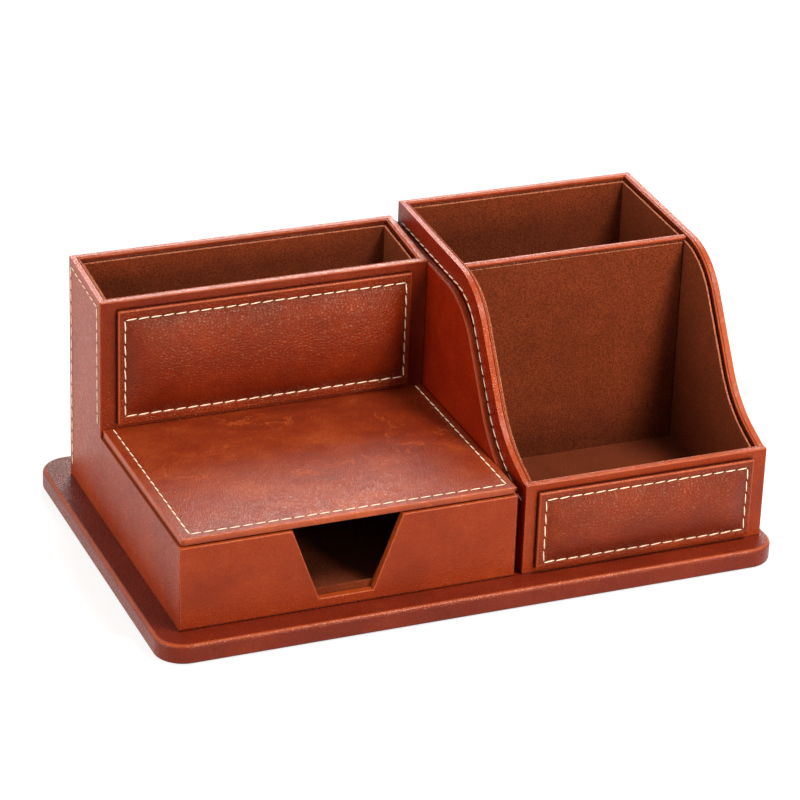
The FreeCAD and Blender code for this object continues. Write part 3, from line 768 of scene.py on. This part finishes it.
def notched_board(name, node, back=0.0, sill=NOTCH_SILL, round_edge=0.6):
    """A board across the drawer with a tapered notch. back widens the notch at both sides."""
    low, high = (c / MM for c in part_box(node))
    piece = block(name, low, high)
    top, foot = NOTCH_TOP + back, NOTCH_FOOT + back
    for side in (-1, 1):
        lean = Vector((high.z - sill, 0, -side * (top - foot)))
        score(piece, (NOTCH_X + side * foot, 0, sill), lean)
    score(piece, (0, 0, sill), UP)

    def half_at(z):
        return foot + (z - sill) / (high.z - sill) * (top - foot)

    def in_notch(c):
        middle = sum(c, Vector()) / len(c)
        return middle.z > sill + NEAR and abs(middle.x - NOTCH_X) < half_at(middle.z) - NEAR

    def on_notch(c):
        return all(p.z > sill - NEAR and abs(abs(p.x - NOTCH_X) - half_at(p.z)) < 0.05
                   for p in c)
    pick(piece, "FACE", in_notch)
    bpy.ops.mesh.delete(type="FACE")
    pick(piece, "EDGE", lambda c: on_notch(c) and reach(c, "y") < NEAR)
    bpy.ops.mesh.bridge_edge_loops()
    bpy.ops.mesh.select_all(action="SELECT")
    bpy.ops.mesh.normals_make_consistent(inside=False)

    def shows(c):
        across = reach(c, "x") > 1 or reach(c, "z") > 1
        edge_of_notch = on_notch(c) and (at(c, y=low.y) or at(c, y=high.y))
        face_edge = at(c, y=low.y) and (at(c, z=high.z) or at(c, x=low.x) or at(c, x=high.x))
        top_edge = at(c, z=high.z) and at(c, y=high.y)
        return across and (edge_of_notch or face_edge or top_edge)
    ease(piece, round_edge, shows)
    return piece


def make_drawer():
    low, high = (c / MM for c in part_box("drawer_front"))
    piece = notched_board("drawer_face", "drawer_front")
    for end, side in ((low.x, -1), (high.x, 1)):
        saw(piece, (end - side * HAIR, low.y, 0), (side, 1, 0))
    foot_line(piece, low.z)
    finish_shape(piece)
    hand_over(piece, "drawer_front", CASE, "drawer")

    piece = notched_board("drawer_lining", "drawer_front_lining", LINING_ASIDE,
                          NOTCH_SILL + LINING_UP, 0.4)
    finish_shape(piece)
    hand_over(piece, "drawer_front_lining", SUEDE, "drawer")

    for name in ("drawer_left_side", "drawer_right_side", "drawer_back", "drawer_floor"):
        low, high = (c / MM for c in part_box(name))
        piece = block(name.replace("drawer", "inner"), low, high)
        if name != "drawer_floor":
            ease(piece, BOX_TOP, lambda c: at(c, z=high.z)
                 and max(reach(c, "x"), reach(c, "y")) > 5)
        else:
            ease(piece, BOX_FLOOR, lambda c: at(c, z=low.z))
        finish_shape(piece)
        hand_over(piece, name, DARK_CARD, "drawer")
    low, high = (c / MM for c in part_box("drawer_suede_floor"))
    piece = block("inner_suede_floor", low, high)
    ease(piece, BOX_FLOOR, lambda c: at(c, z=high.z))
    finish_shape(piece)
    hand_over(piece, "drawer_suede_floor", SUEDE, "drawer")


# ------------------------------------------------------------------ suede linings
STAND_OFF = 0.75                               # suede stands this far off the board behind it
SHORT = 0.7                                    # gap at each end of a card
TIP = 0.5                                      # loose fibres start this far from a card's ends
UNEVEN = 0.07                                  # how far a cut edge wanders
SUEDE_EDGE, SWEPT_EDGE = 0.4, 0.45             # radii of the cards' edges, flat and swept
SWEPT_TOP = 45                                 # a swept card's cut edge lies above this
FLAT_CARDS = {                                 # each card, and the way that its suede faces
    "tray_suede_front": "y+", "tray_suede_rear": "y-", "tray_suede_left": "x+",
    "tray_suede_right": "x-", "stand_suede_front": "y+", "stand_suede_rear": "y-",
    "divider_suede_front": "y-", "divider_suede_rear": "y+",
    "stand_suede_left_rear": "x+", "stand_suede_right_rear": "x-",
}


def thinned(node, axis, way):
    """A card's corners with its back set off from its board, on the given axis."""
    low, high = (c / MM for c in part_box(node))
    if way > 0:
        low[axis] += STAND_OFF
    else:
        high[axis] -= STAND_OFF
    return low, high


def fray_and_hand_over(piece, node, above, axis):
    mark_rims(piece, "cut")
    ruffle(piece, above, axis)
    finish_shape(piece, 60)
    hand_over(piece, node, SUEDE)


def line_flat_walls():
    """Straight suede cards in the tray and the stand. Gives back the lines along their tops."""
    tops = []
    for node, facing in FLAT_CARDS.items():
        axis = "xy".index(facing[0])
        long_axis = "yx"[axis]
        low, high = thinned(node, axis, 1 if facing[1] == "+" else -1)
        low[1 - axis] += SHORT
        high[1 - axis] -= SHORT
        piece = block(node.replace("suede", "nap"), low, high)
        middle = (low + high) / 2
        if long_axis == "x":
            top = [(low.x + TIP, middle.y, high.z), (high.x - TIP, middle.y, high.z)]
        else:                                  # a side card's top slopes with the rim
            slope = TRAY_SLOPE if node.startswith("tray") else STAND_SLOPE
            saw(piece, (0, high.y + SHORT, high.z), (0, -math.sin(slope), math.cos(slope)))
            fall = (high.y - low.y) * math.tan(slope)
            top = [(middle.x, low.y + TIP, high.z - fall), (middle.x, high.y - TIP, high.z)]
        below_top = high.z - 10
        ease(piece, SUEDE_EDGE, lambda c: min(p.z for p in c) > below_top
             and reach(c, long_axis) > 5, 3)
        fray_and_hand_over(piece, node, below_top, long_axis)
        tops.append(top)
    return tops


def line_swept_walls():
    """Suede cards that follow the stand's swept walls. Gives back the lines along their tops."""
    tops = []
    front = FRONT + BOARD
    turns = sweep_places(front, STAND_FOOT_RIM, STAND_REAR_RIM, STAND_RUN, STAND_SLOPE,
                         down=DROP)
    for side, way in (("left", 1), ("right", -1)):
        node = f"stand_suede_{side}_front"
        low, high = thinned(node, 0, way)
        piece = swept_board(f"stand_nap_{side}_front", low.x, high.x, front, turns, low.z)
        saw(piece, (0, low.y + SHORT, 0), (0, -1, 0))
        saw(piece, (0, high.y - SHORT, 0), (0, 1, 0))
        ease(piece, SWEPT_EDGE, lambda c: along_sweep(c, low.z), 3)
        fray_and_hand_over(piece, node, SWEPT_TOP, "y")
        tops.append(sweep_line(turns, low.y + TIP, 0.0, high.y - TIP, (low.x + high.x) / 2))
    return tops


def line_floors():
    for node in ("tray_suede_floor", "stand_suede_floor_front", "stand_suede_floor_rear"):
        low, high = (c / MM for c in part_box(node))
        piece = block(node.replace("suede", "nap"), low, high)
        ease(piece, SUEDE_EDGE, lambda c: at(c, z=high.z))
        finish_shape(piece)
        hand_over(piece, node, SUEDE)


def ruffle(piece, above, axis):
    """Makes the cut edge of a suede card a little uneven."""
    work_on(piece)
    pick(piece, "EDGE", lambda c: min(p.z for p in c) > above and reach(c, axis) > 5)
    bpy.ops.mesh.subdivide(number_cuts=70)
    pick(piece, "VERT", lambda c: c[0].z > above)
    bpy.ops.transform.vertex_random(offset=UNEVEN * MM, seed=4)


def set_down(place, *axes):
    """The move that sets a pattern piece down at a place, its x, y and z along the axes."""
    return Matrix.Translation(place * MM) @ Matrix(axes).transposed().to_4x4()


def route(path):
    """A path's length, and a function that gives the place and direction at a distance."""
    path = [Vector(p) for p in path]
    spans = [(b - a).length for a, b in zip(path, path[1:])]

    def along(distance):
        for a, b, span in zip(path, path[1:], spans):
            if distance <= span or b is path[-1]:
                way = (b - a).normalized()
                return a + way * distance, way
            distance -= span
    return sum(spans), along


TUFT = 4.6                                     # length of a tuft of loose fibres


def fringe(name, tops):
    """Short loose fibres along the cut tops of the suede cards."""
    draw = random.Random(11)
    strands = []
    for _ in range(20):
        leave()
        bpy.ops.mesh.primitive_cone_add(
            vertices=3, radius1=0.12 * MM, radius2=0, depth=draw.uniform(0.4, 0.75) * MM,
            location=(draw.uniform(-0.45, 0.45) * MM, draw.uniform(-2.6, 2.6) * MM, 0.1 * MM),
            rotation=(draw.uniform(-0.7, 0.7), draw.uniform(-0.9, 0.9), 0))
        strands.append(bpy.context.object)
    leave()
    for strand in strands:
        strand.select_set(True)
    bpy.context.view_layer.objects.active = strands[0]
    bpy.ops.object.join()
    bpy.ops.object.transform_apply(location=True, rotation=True, scale=True)
    tuft = bpy.context.object
    places = []
    for top in tops:
        length, along = route(top)
        count = max(1, round(length / TUFT))
        for n in range(count):
            place, way = along((n + 0.5) * length / count)
            way = way * draw.choice((-1, 1))
            side = way.cross(Vector(UP)).normalized()
            places.append(set_down(place, side, way, side.cross(way)))
    piece = repeated(name, tuft, places)
    coat(piece, NAP_EDGE)
    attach(piece, "organiser")


# ------------------------------------------------------------------ sewn panels
SEAM_GROOVE = 0.9                              # from the seam to the plain frame outside it
DYED = 12.0                                    # width of the painted shade inside a pad's seam


# Outlines are (left, right, near, far).
def middle_of(outline):
    return (outline[0] + outline[1]) / 2, (outline[2] + outline[3]) / 2


def inset(outline, by):
    return outline[0] + by, outline[1] - by, outline[2] + by, outline[3] - by


def margins(outline, p):
    """How far inside an outline a place is, from each of its four sides."""
    return p.x - outline[0], outline[1] - p.x, p.y - outline[2], outline[3] - p.y


def next_ring(old, new, rise):
    """Draws the border of a flat panel out to a new outline, and up or down."""
    (cx, cy), (nx, ny) = middle_of(old), middle_of(new)
    bpy.ops.mesh.extrude_region_move()
    bpy.ops.transform.resize(value=((new[1] - new[0]) / (old[1] - old[0]),
                                    (new[3] - new[2]) / (old[3] - old[2]), 1),
                             center_override=(cx * MM, cy * MM, 0))
    bpy.ops.transform.translate(value=((nx - cx) * MM, (ny - cy) * MM, rise * MM))


def puff(piece, seam, face):
    """Blows the leather up inside its seam, as cloth under pressure."""
    grow = 10                                  # cloth behaves better at ten times the size
    piece.data.transform(Matrix.Scale(grow, 4))
    group = piece.vertex_groups.new(name="seam")
    hold = [v.index for v in piece.data.vertices
            if min(abs(gap) for gap in margins(seam, v.co / grow / MM)) < NEAR]
    group.add(hold, 1.0, "REPLACE")
    cloth = piece.modifiers.new("filling", "CLOTH")
    for key, value in (("vertex_group_mass", group.name), ("quality", 4), ("mass", 0.4),
                       ("tension_stiffness", 30), ("compression_stiffness", 30),
                       ("shear_stiffness", 15), ("bending_stiffness", 2.0),
                       ("use_pressure", True), ("uniform_pressure_force", 3.0)):
        setattr(cloth.settings, key, value)
    cloth.settings.effector_weights.gravity = 0
    cloth.point_cache.frame_start, cloth.point_cache.frame_end = 1, 30
    for step in range(1, 26):
        bpy.context.scene.frame_set(step)
    bpy.context.view_layer.objects.active = piece
    bpy.ops.object.modifier_apply(modifier=cloth.name)
    bpy.context.scene.frame_set(1)
    work_on(piece)
    pick(piece, "VERT", lambda c: c[0].z / grow > face + 0.02)
    bpy.ops.mesh.vertices_smooth(factor=0.5, repeat=12)
    leave()
    piece.vertex_groups.clear()
    piece.data.transform(Matrix.Scale(1 / grow, 4))


def crown_to(piece, seam, face, crown):
    """Sets the height of the crown. A piece that wasn't blown up gets a plain one."""
    heights = [v.co.z / MM - face for v in piece.data.vertices]
    highest = max(heights)
    for v, height in zip(piece.data.vertices, heights):
        a = (v.co.x / MM - seam[0]) / (seam[1] - seam[0])
        b = (v.co.y / MM - seam[2]) / (seam[3] - seam[2])
        if highest > 0.05:
            share = height / highest
        else:
            share = (16 * a * (1 - a) * b * (1 - b)) ** 0.5 if 0 < a < 1 and 0 < b < 1 else 0
        v.co.z = (face + crown * max(0.0, share)) * MM


def sewn_panel(name, outer, seam, face, foot, crown, corner, round_edge, sunk=0.45, cell=1.25):
    """Padded leather over a card, lying flat: a crown inside the seam and a plain frame outside.

    outer and seam are outlines, face is the frame's height and foot its lower edge. The seam is
    sunk below the frame. corner and round_edge are radii, and cell the size of the mesh.
    """
    leave()
    wide, deep = seam[1] - seam[0], seam[3] - seam[2]
    cx, cy = middle_of(seam)
    bpy.ops.mesh.primitive_grid_add(x_subdivisions=round(wide / cell),
                                    y_subdivisions=round(deep / cell), size=1,
                                    location=(cx * MM, cy * MM, (face - sunk) * MM))
    piece = bpy.context.object
    piece.name = piece.data.name = name
    piece.scale = (wide * MM, deep * MM, 1)
    bpy.ops.object.transform_apply(location=True, rotation=True, scale=True)
    puff(piece, seam, face - sunk)
    crown_to(piece, seam, face - sunk, crown + sunk)
    work_on(piece)
    pick(piece, "EDGE", lambda c: any(at(c, **{axis: value}) for axis, value in
                                      zip("xxyy", seam)))
    rings = [(seam, 0.0), (inset(seam, -SEAM_GROOVE / 2), sunk * 0.6),
             (inset(seam, -SEAM_GROOVE), sunk)]
    for step in range(5):
        turn = math.pi / 2 * step / 4
        rings.append((inset(outer, round_edge * (1 - math.sin(turn))),
                      sunk - round_edge * (1 - math.cos(turn))))
    rings.append((outer, foot - face + sunk))
    for (old, low), (new, high) in zip(rings, rings[1:]):
        next_ring(old, new, high - low)
    bpy.ops.mesh.edge_face_add()
    ease(piece, corner, lambda c: all(
        min(abs(p.x - outer[0]), abs(p.x - outer[1])) < NEAR
        and min(abs(p.y - outer[2]), abs(p.y - outer[3])) < NEAR for p in c)
        and reach(c, "z") > NEAR, 4)
    # wear, and a painted highlight, on the frame's rounded edge
    mark(piece, "worn", lambda p: p.z > foot + NEAR
         and min(margins(outer, p)) < round_edge * 0.8)
    if face - foot < 2:                        # a thin panel's edge lies in its own shade
        mark(piece, "pressed", lambda p: p.z < face - round_edge + NEAR
             and min(margins(outer, p)) < NEAR)
    return piece


def stand_up(piece, front):
    """Turns a panel that lies flat so that it faces the front, its face at a place in y."""
    leave()
    piece.data.transform(Matrix.Translation((0, front * MM, 0))
                         @ Matrix.Rotation(math.pi / 2, 4, "X"))


# ------------------------------------------------------------------ stitches
PITCH = 5.8                                    # from one needle hole to the next
SLANT = 4.0                                    # a stitch leans off its row, in degrees
HOLE_ASIDE = 0.3                               # needle holes show beside the thread, as dark discs that also paint the thread's shade


def sew(name, rows, thick=0.66, long=5.1, seed=1):
    """Rows of stitches, each row a path of places and the way that its surface faces."""
    draw = random.Random(seed)
    stitches, holes = [], []
    for path, facing in rows:
        facing = Vector(facing).normalized()
        length, along = route(path)
        count = max(1, round(length / PITCH))
        pitch = length / count
        for n in range(count):
            place, way = along((n + 0.5) * pitch)
            side = facing.cross(way).normalized()
            lean = math.radians(SLANT + draw.uniform(-2.0, 2.0))
            turned = (math.cos(lean) * way + math.sin(lean) * side).normalized()
            side = facing.cross(turned).normalized()
            grow = Matrix.Diagonal((thick * draw.uniform(0.92, 1.06), thick * 0.8,
                                    long * pitch / PITCH * draw.uniform(0.97, 1.03), 1))
            place += facing * thick * 0.12
            stitches.append(set_down(place, side, turned.cross(side), turned) @ grow)
        for n in range(count + 1):
            place, way = along(min(n * pitch, length - 1e-6))
            side = facing.cross(way).normalized()
            aside = side * (HOLE_ASIDE if side.z < 0 or side.y < -0.5 else -HOLE_ASIDE)
            holes.append(set_down(place + facing * 0.03 + aside, side, way, facing))
    leave()
    bpy.ops.mesh.primitive_uv_sphere_add(segments=8, ring_count=7, radius=MM / 2)
    thread = repeated(name + "_thread", bpy.context.object, stitches)
    coat(thread, THREAD)
    leave()
    bpy.ops.mesh.primitive_cone_add(vertices=8, radius1=0.55 * MM, depth=0.12 * MM)
    pricks = repeated(name + "_holes", bpy.context.object, holes)
    coat(pricks, HOLE)
    for piece in (thread, pricks):
        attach(piece, "organiser")


def repeated(name, pattern, places):
    """Copies of a pattern piece at each place, joined as one piece. The pattern is used up."""
    copies = []
    for place in places:
        mesh = pattern.data.copy()
        mesh.transform(place)
        copy = bpy.data.objects.new(name, mesh)
        bpy.context.scene.collection.objects.link(copy)
        copies.append(copy)
    bpy.data.objects.remove(pattern)
    leave()
    for copy in copies:
        copy.select_set(True)
    bpy.context.view_layer.objects.active = copies[0]
    bpy.ops.object.join()
    piece = bpy.context.object
    piece.name = piece.data.name = name
    bpy.ops.object.shade_smooth()
    return piece


# ------------------------------------------------------------------ top panel
TOP_SEAM = (-130.5, 17.0, -76.6)               # its left, right and near rows
CARD_IN = 0.6                                  # the card's edge is this far inside the leather's


def make_top_panel():
    low, high = (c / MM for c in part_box("top_panel_board"))
    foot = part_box("top_panel_board")[0].z / MM
    piece = block("top_card", (low.x + CARD_IN, low.y + CARD_IN, low.z),
                  (high.x - CARD_IN, high.y, high.z))
    ease(piece, 2.0, lambda c: reach(c, "z") > 0.5, 4)
    finish_shape(piece)
    hand_over(piece, "top_panel_board", DARK_CARD)

    low, high = (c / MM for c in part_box("top_panel_cover"))
    outer = (low.x, high.x, low.y, high.y)
    left, right, near = TOP_SEAM
    seam = (left, right, near, high.y - 1.2)
    piece = sewn_panel("top_sheet", outer, seam, high.z, foot, 1.7, 2.0, 0.7, sunk=0.3,
                       cell=2.0)
    finish_shape(piece, 50)
    hand_over(piece, "top_panel_cover", PANEL)
    far, z = high.y - 0.5, high.z - 0.28
    corners = [(left, far, z), (left, near, z), (right, near, z), (right, far, z)]
    sew("top_panel", [(row, UP) for row in zip(corners, corners[1:])], seed=3)


# ------------------------------------------------------------------ padded panels
PADS = (("tray_panel", (-125.4, 9.8, 60.7, 108.3), 5.2),      # name, seam and crown
        ("stand_panel", (33.7, 133.4, 15.9, 47.2), 4.2))
BACKING_IN = 1.2                               # a backing card's edge is this far inside its pad's


def make_pads():
    for name, seam, crown in PADS:
        low, high = (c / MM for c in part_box(name + "_cushion"))
        outer = front_outline(name + "_cushion")
        piece = sewn_panel(name + "_pad", outer, seam, 0.0, low.y - high.y, crown, 1.1, 0.9)

        def from_seam(p):
            """The painted shade reaches further in from the foot than from the top."""
            left, right, foot, top = margins(seam, p)
            return min(left, right, foot * 0.6, top * 1.6)
        # painted shade inside the seam, darker towards the bottom
        mark(piece, "pressed", lambda p: 0 <= from_seam(p) < DYED,
             lambda p: FAINT + 0.3 * (1 - from_seam(p) / DYED) ** 2)
        stand_up(piece, low.y)
        finish_shape(piece, 60)
        hand_over(piece, name + "_cushion", PADDED)
        x0, x1, z0, z1 = seam
        y = low.y + 0.4
        corners = [(x0, y, z1), (x1, y, z1), (x1, y, z0), (x0, y, z0), (x0, y, z1)]
        sew(name, [(row, (0, -1, 0)) for row in zip(corners, corners[1:])], seed=5)

        low, high = (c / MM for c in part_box(name + "_card"))
        inwards = Vector((BACKING_IN, 0, BACKING_IN))
        piece = block(name + "_backing", low + inwards, high - inwards)
        ease(piece, BACKING_IN, lambda c: reach(c, "y") > 0.5, 4)
        finish_shape(piece)
        hand_over(piece, name + "_card", DARK_CARD)


# ------------------------------------------------------------------ stitched outer faces
def sweep_line(turns, front, inward, rear, x):
    """Places along a swept rim, moved inward from it, from the rear to the front."""
    slope, (level_y, level_z) = turns["slope"], turns["shoulder_end"]
    rear_z = level_z + (rear - level_y) * math.tan(slope) - inward / math.cos(slope)
    places = [(rear, rear_z)]
    for centre, size, first, last, way in (
            (turns["shoulder"], turns["shoulder_radius"] - inward, slope, STEEP, -1),
            (turns["knee"], turns["knee_radius"] + inward, STEEP, TOE, 1)):
        for n in range(11):
            turn = first + (last - first) * n / 10
            places.append((centre[0] + way * size * math.sin(turn),
                           centre[1] - way * size * math.cos(turn)))
    y, z = places[-1]
    places.append((front, z - (y - front) * math.tan(TOE)))
    return [(x, y, z) for y, z in places if y <= rear + NEAR]


SIDE_ROWS = (33.9, 72.7)                       # near and far upright rows of the tray's side
SIDE_ROW_FEET = (55, 16)                       # and where they end
SIDE_ROW_DROP, SWEEP_ROW_DROP = 4, 9.0         # how far the top rows run below their rims
SWEEP_ROW_END = 4                              # from the unit's front and rear


def make_face_stitches():
    x, (near, far), (near_foot, far_foot) = DRAWER_X[0], SIDE_ROWS, SIDE_ROW_FEET
    corners = [(x, far, far_foot), (x, far, tray_rim(far) - SIDE_ROW_DROP),
               (x, near, tray_rim(near) - SIDE_ROW_DROP), (x, near, near_foot)]
    sew("tray_side", [(row, (-1, 0, 0)) for row in zip(corners, corners[1:])], seed=7)
    for name, x, way in (("stand_left", STAND_X[0], -1), ("stand_right", STAND_X[1], 1)):
        path = sweep_line(STAND_SWEEP, FRONT + SWEEP_ROW_END, SWEEP_ROW_DROP,
                          BACK - SWEEP_ROW_END, x)
        sew(name, [(path, (way, 0, 0))], seed=9, thick=0.75, long=5.5)


def dress_nodes():
    """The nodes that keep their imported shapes, boards and felt, get their finishes."""
    for name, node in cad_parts.items():
        if not node.hide_render:
            coat(node, FELT if name == "base_underlay" else DARK_CARD)


# ------------------------------------------------------------------ studio
LAMPS = {                                      # place and size in metres, watts and colour
    "left_softbox": ((-1.25, -0.15, 0.4), 0.9, 16.5, (1, 0.94, 0.86)),
    "key": ((0.4, -0.5, 0.95), 0.32, 12.5, (1, 1, 1)),
    "front_softbox": ((0.5, -1.45, 0.34), 0.34, 14.0, (1, 0.84, 0.68)),
    "rear_softbox": ((0.4, 0.95, 0.9), 0.58, 14.0, (1, 1, 1)),
}
LAMPS_AIM = Vector((0, 0, 0.05))
WHITE = (1, 1, 1, 1)


def grey(level):
    return level, level, level, 1


def seen_directly(tree):
    """1 for the camera's rays and those that mirror or pass light, 0 for the light itself."""
    ray = add(tree, "ShaderNodeLightPath").outputs
    mirrored = sums(tree, "MAXIMUM", ray["Is Camera Ray"], ray["Is Glossy Ray"])
    return sums(tree, "MAXIMUM", mirrored, ray["Is Transmission Ray"])


def make_floor():
    """A floor that looks white and takes a shadow, but throws back only a paper's light."""
    leave()
    bpy.ops.mesh.primitive_plane_add(size=8, location=(0, 0, 0))
    floor = bpy.context.object
    floor.name = "floor"
    finish = bpy.data.materials.new("white_floor")
    finish.use_nodes = True
    tree = finish.node_tree
    tree.nodes.clear()
    paper = add(tree, "ShaderNodeBsdfDiffuse", {"Color": grey(0.5)})
    matt = add(tree, "ShaderNodeBsdfDiffuse", {"Color": grey(0.3)})
    glow = add(tree, "ShaderNodeEmission", {"Strength": 0.8})
    lit = add(tree, "ShaderNodeAddShader", {0: matt.outputs[0], 1: glow.outputs[0]})
    both = add(tree, "ShaderNodeMixShader", {0: seen_directly(tree), 1: paper.outputs[0],
                                             2: lit.outputs[0]})
    add(tree, "ShaderNodeOutputMaterial", {0: both.outputs[0]})
    floor.data.materials.append(finish)


def make_world():
    """Seen directly, the world is white. Its own light is soft and low."""
    world = bpy.data.worlds.new("studio")
    bpy.context.scene.world = world
    world.use_nodes = True
    tree = world.node_tree
    tree.nodes.clear()
    soft = add(tree, "ShaderNodeBackground", {"Color": WHITE, "Strength": 0.21})
    white = add(tree, "ShaderNodeBackground", {"Color": WHITE, "Strength": 1.0})
    both = add(tree, "ShaderNodeMixShader", {0: seen_directly(tree), 1: soft.outputs[0],
                                             2: white.outputs[0]})
    add(tree, "ShaderNodeOutputWorld", {0: both.outputs[0]})


def make_lamps():
    for name, (place, size, power, colour) in LAMPS.items():
        light = bpy.data.lights.new(name, "AREA")
        light.color, light.size, light.energy = colour, size, power
        lamp = bpy.data.objects.new(name, light)
        bpy.context.scene.collection.objects.link(lamp)
        lamp.location = place
        lamp.rotation_euler = (LAMPS_AIM - Vector(place)).to_track_quat("-Z", "Y").to_euler()


CAMERA_TURN = (-22.93, 25.89, 2.12)            # azimuth, elevation and roll, in degrees
CAMERA_AIM = (-12.08, -21.8, 74.52)
CAMERA_AWAY = 1572.24                          # from what it aims at
CAMERA_LENS, CAMERA_SENSOR = 157.64, 36


def make_camera():
    azimuth, elevation, roll = (math.radians(a) for a in CAMERA_TURN)
    back = Vector((math.sin(azimuth) * math.cos(elevation),
                   -math.cos(azimuth) * math.cos(elevation), math.sin(elevation)))
    right = Vector((math.cos(azimuth), math.sin(azimuth), 0))
    up = back.cross(right)
    level = math.cos(roll) * right + math.sin(roll) * up
    upright = math.cos(roll) * up - math.sin(roll) * right
    data = bpy.data.cameras.new("camera")
    data.lens, data.sensor_width = CAMERA_LENS, CAMERA_SENSOR
    data.clip_start, data.clip_end = 0.1, 20
    camera = bpy.data.objects.new("camera", data)
    bpy.context.scene.collection.objects.link(camera)
    place = Vector(CAMERA_AIM) * MM + back * CAMERA_AWAY * MM
    turn = Matrix((level, upright, back)).transposed().to_4x4()
    camera.matrix_world = Matrix.Translation(place) @ turn
    bpy.context.scene.camera = camera


bpy.context.scene.view_settings.view_transform = "Standard"
make_camera()
make_plate()
make_case()
make_stand_sides()
make_stand_ends()
make_side_cover()
make_divider()
make_drawer()
tops = line_flat_walls() + line_swept_walls()
line_floors()
fringe("suede_edge_fibres", tops)
make_top_panel()
make_pads()
make_face_stitches()
dress_nodes()
make_floor()
make_world()
make_lamps()
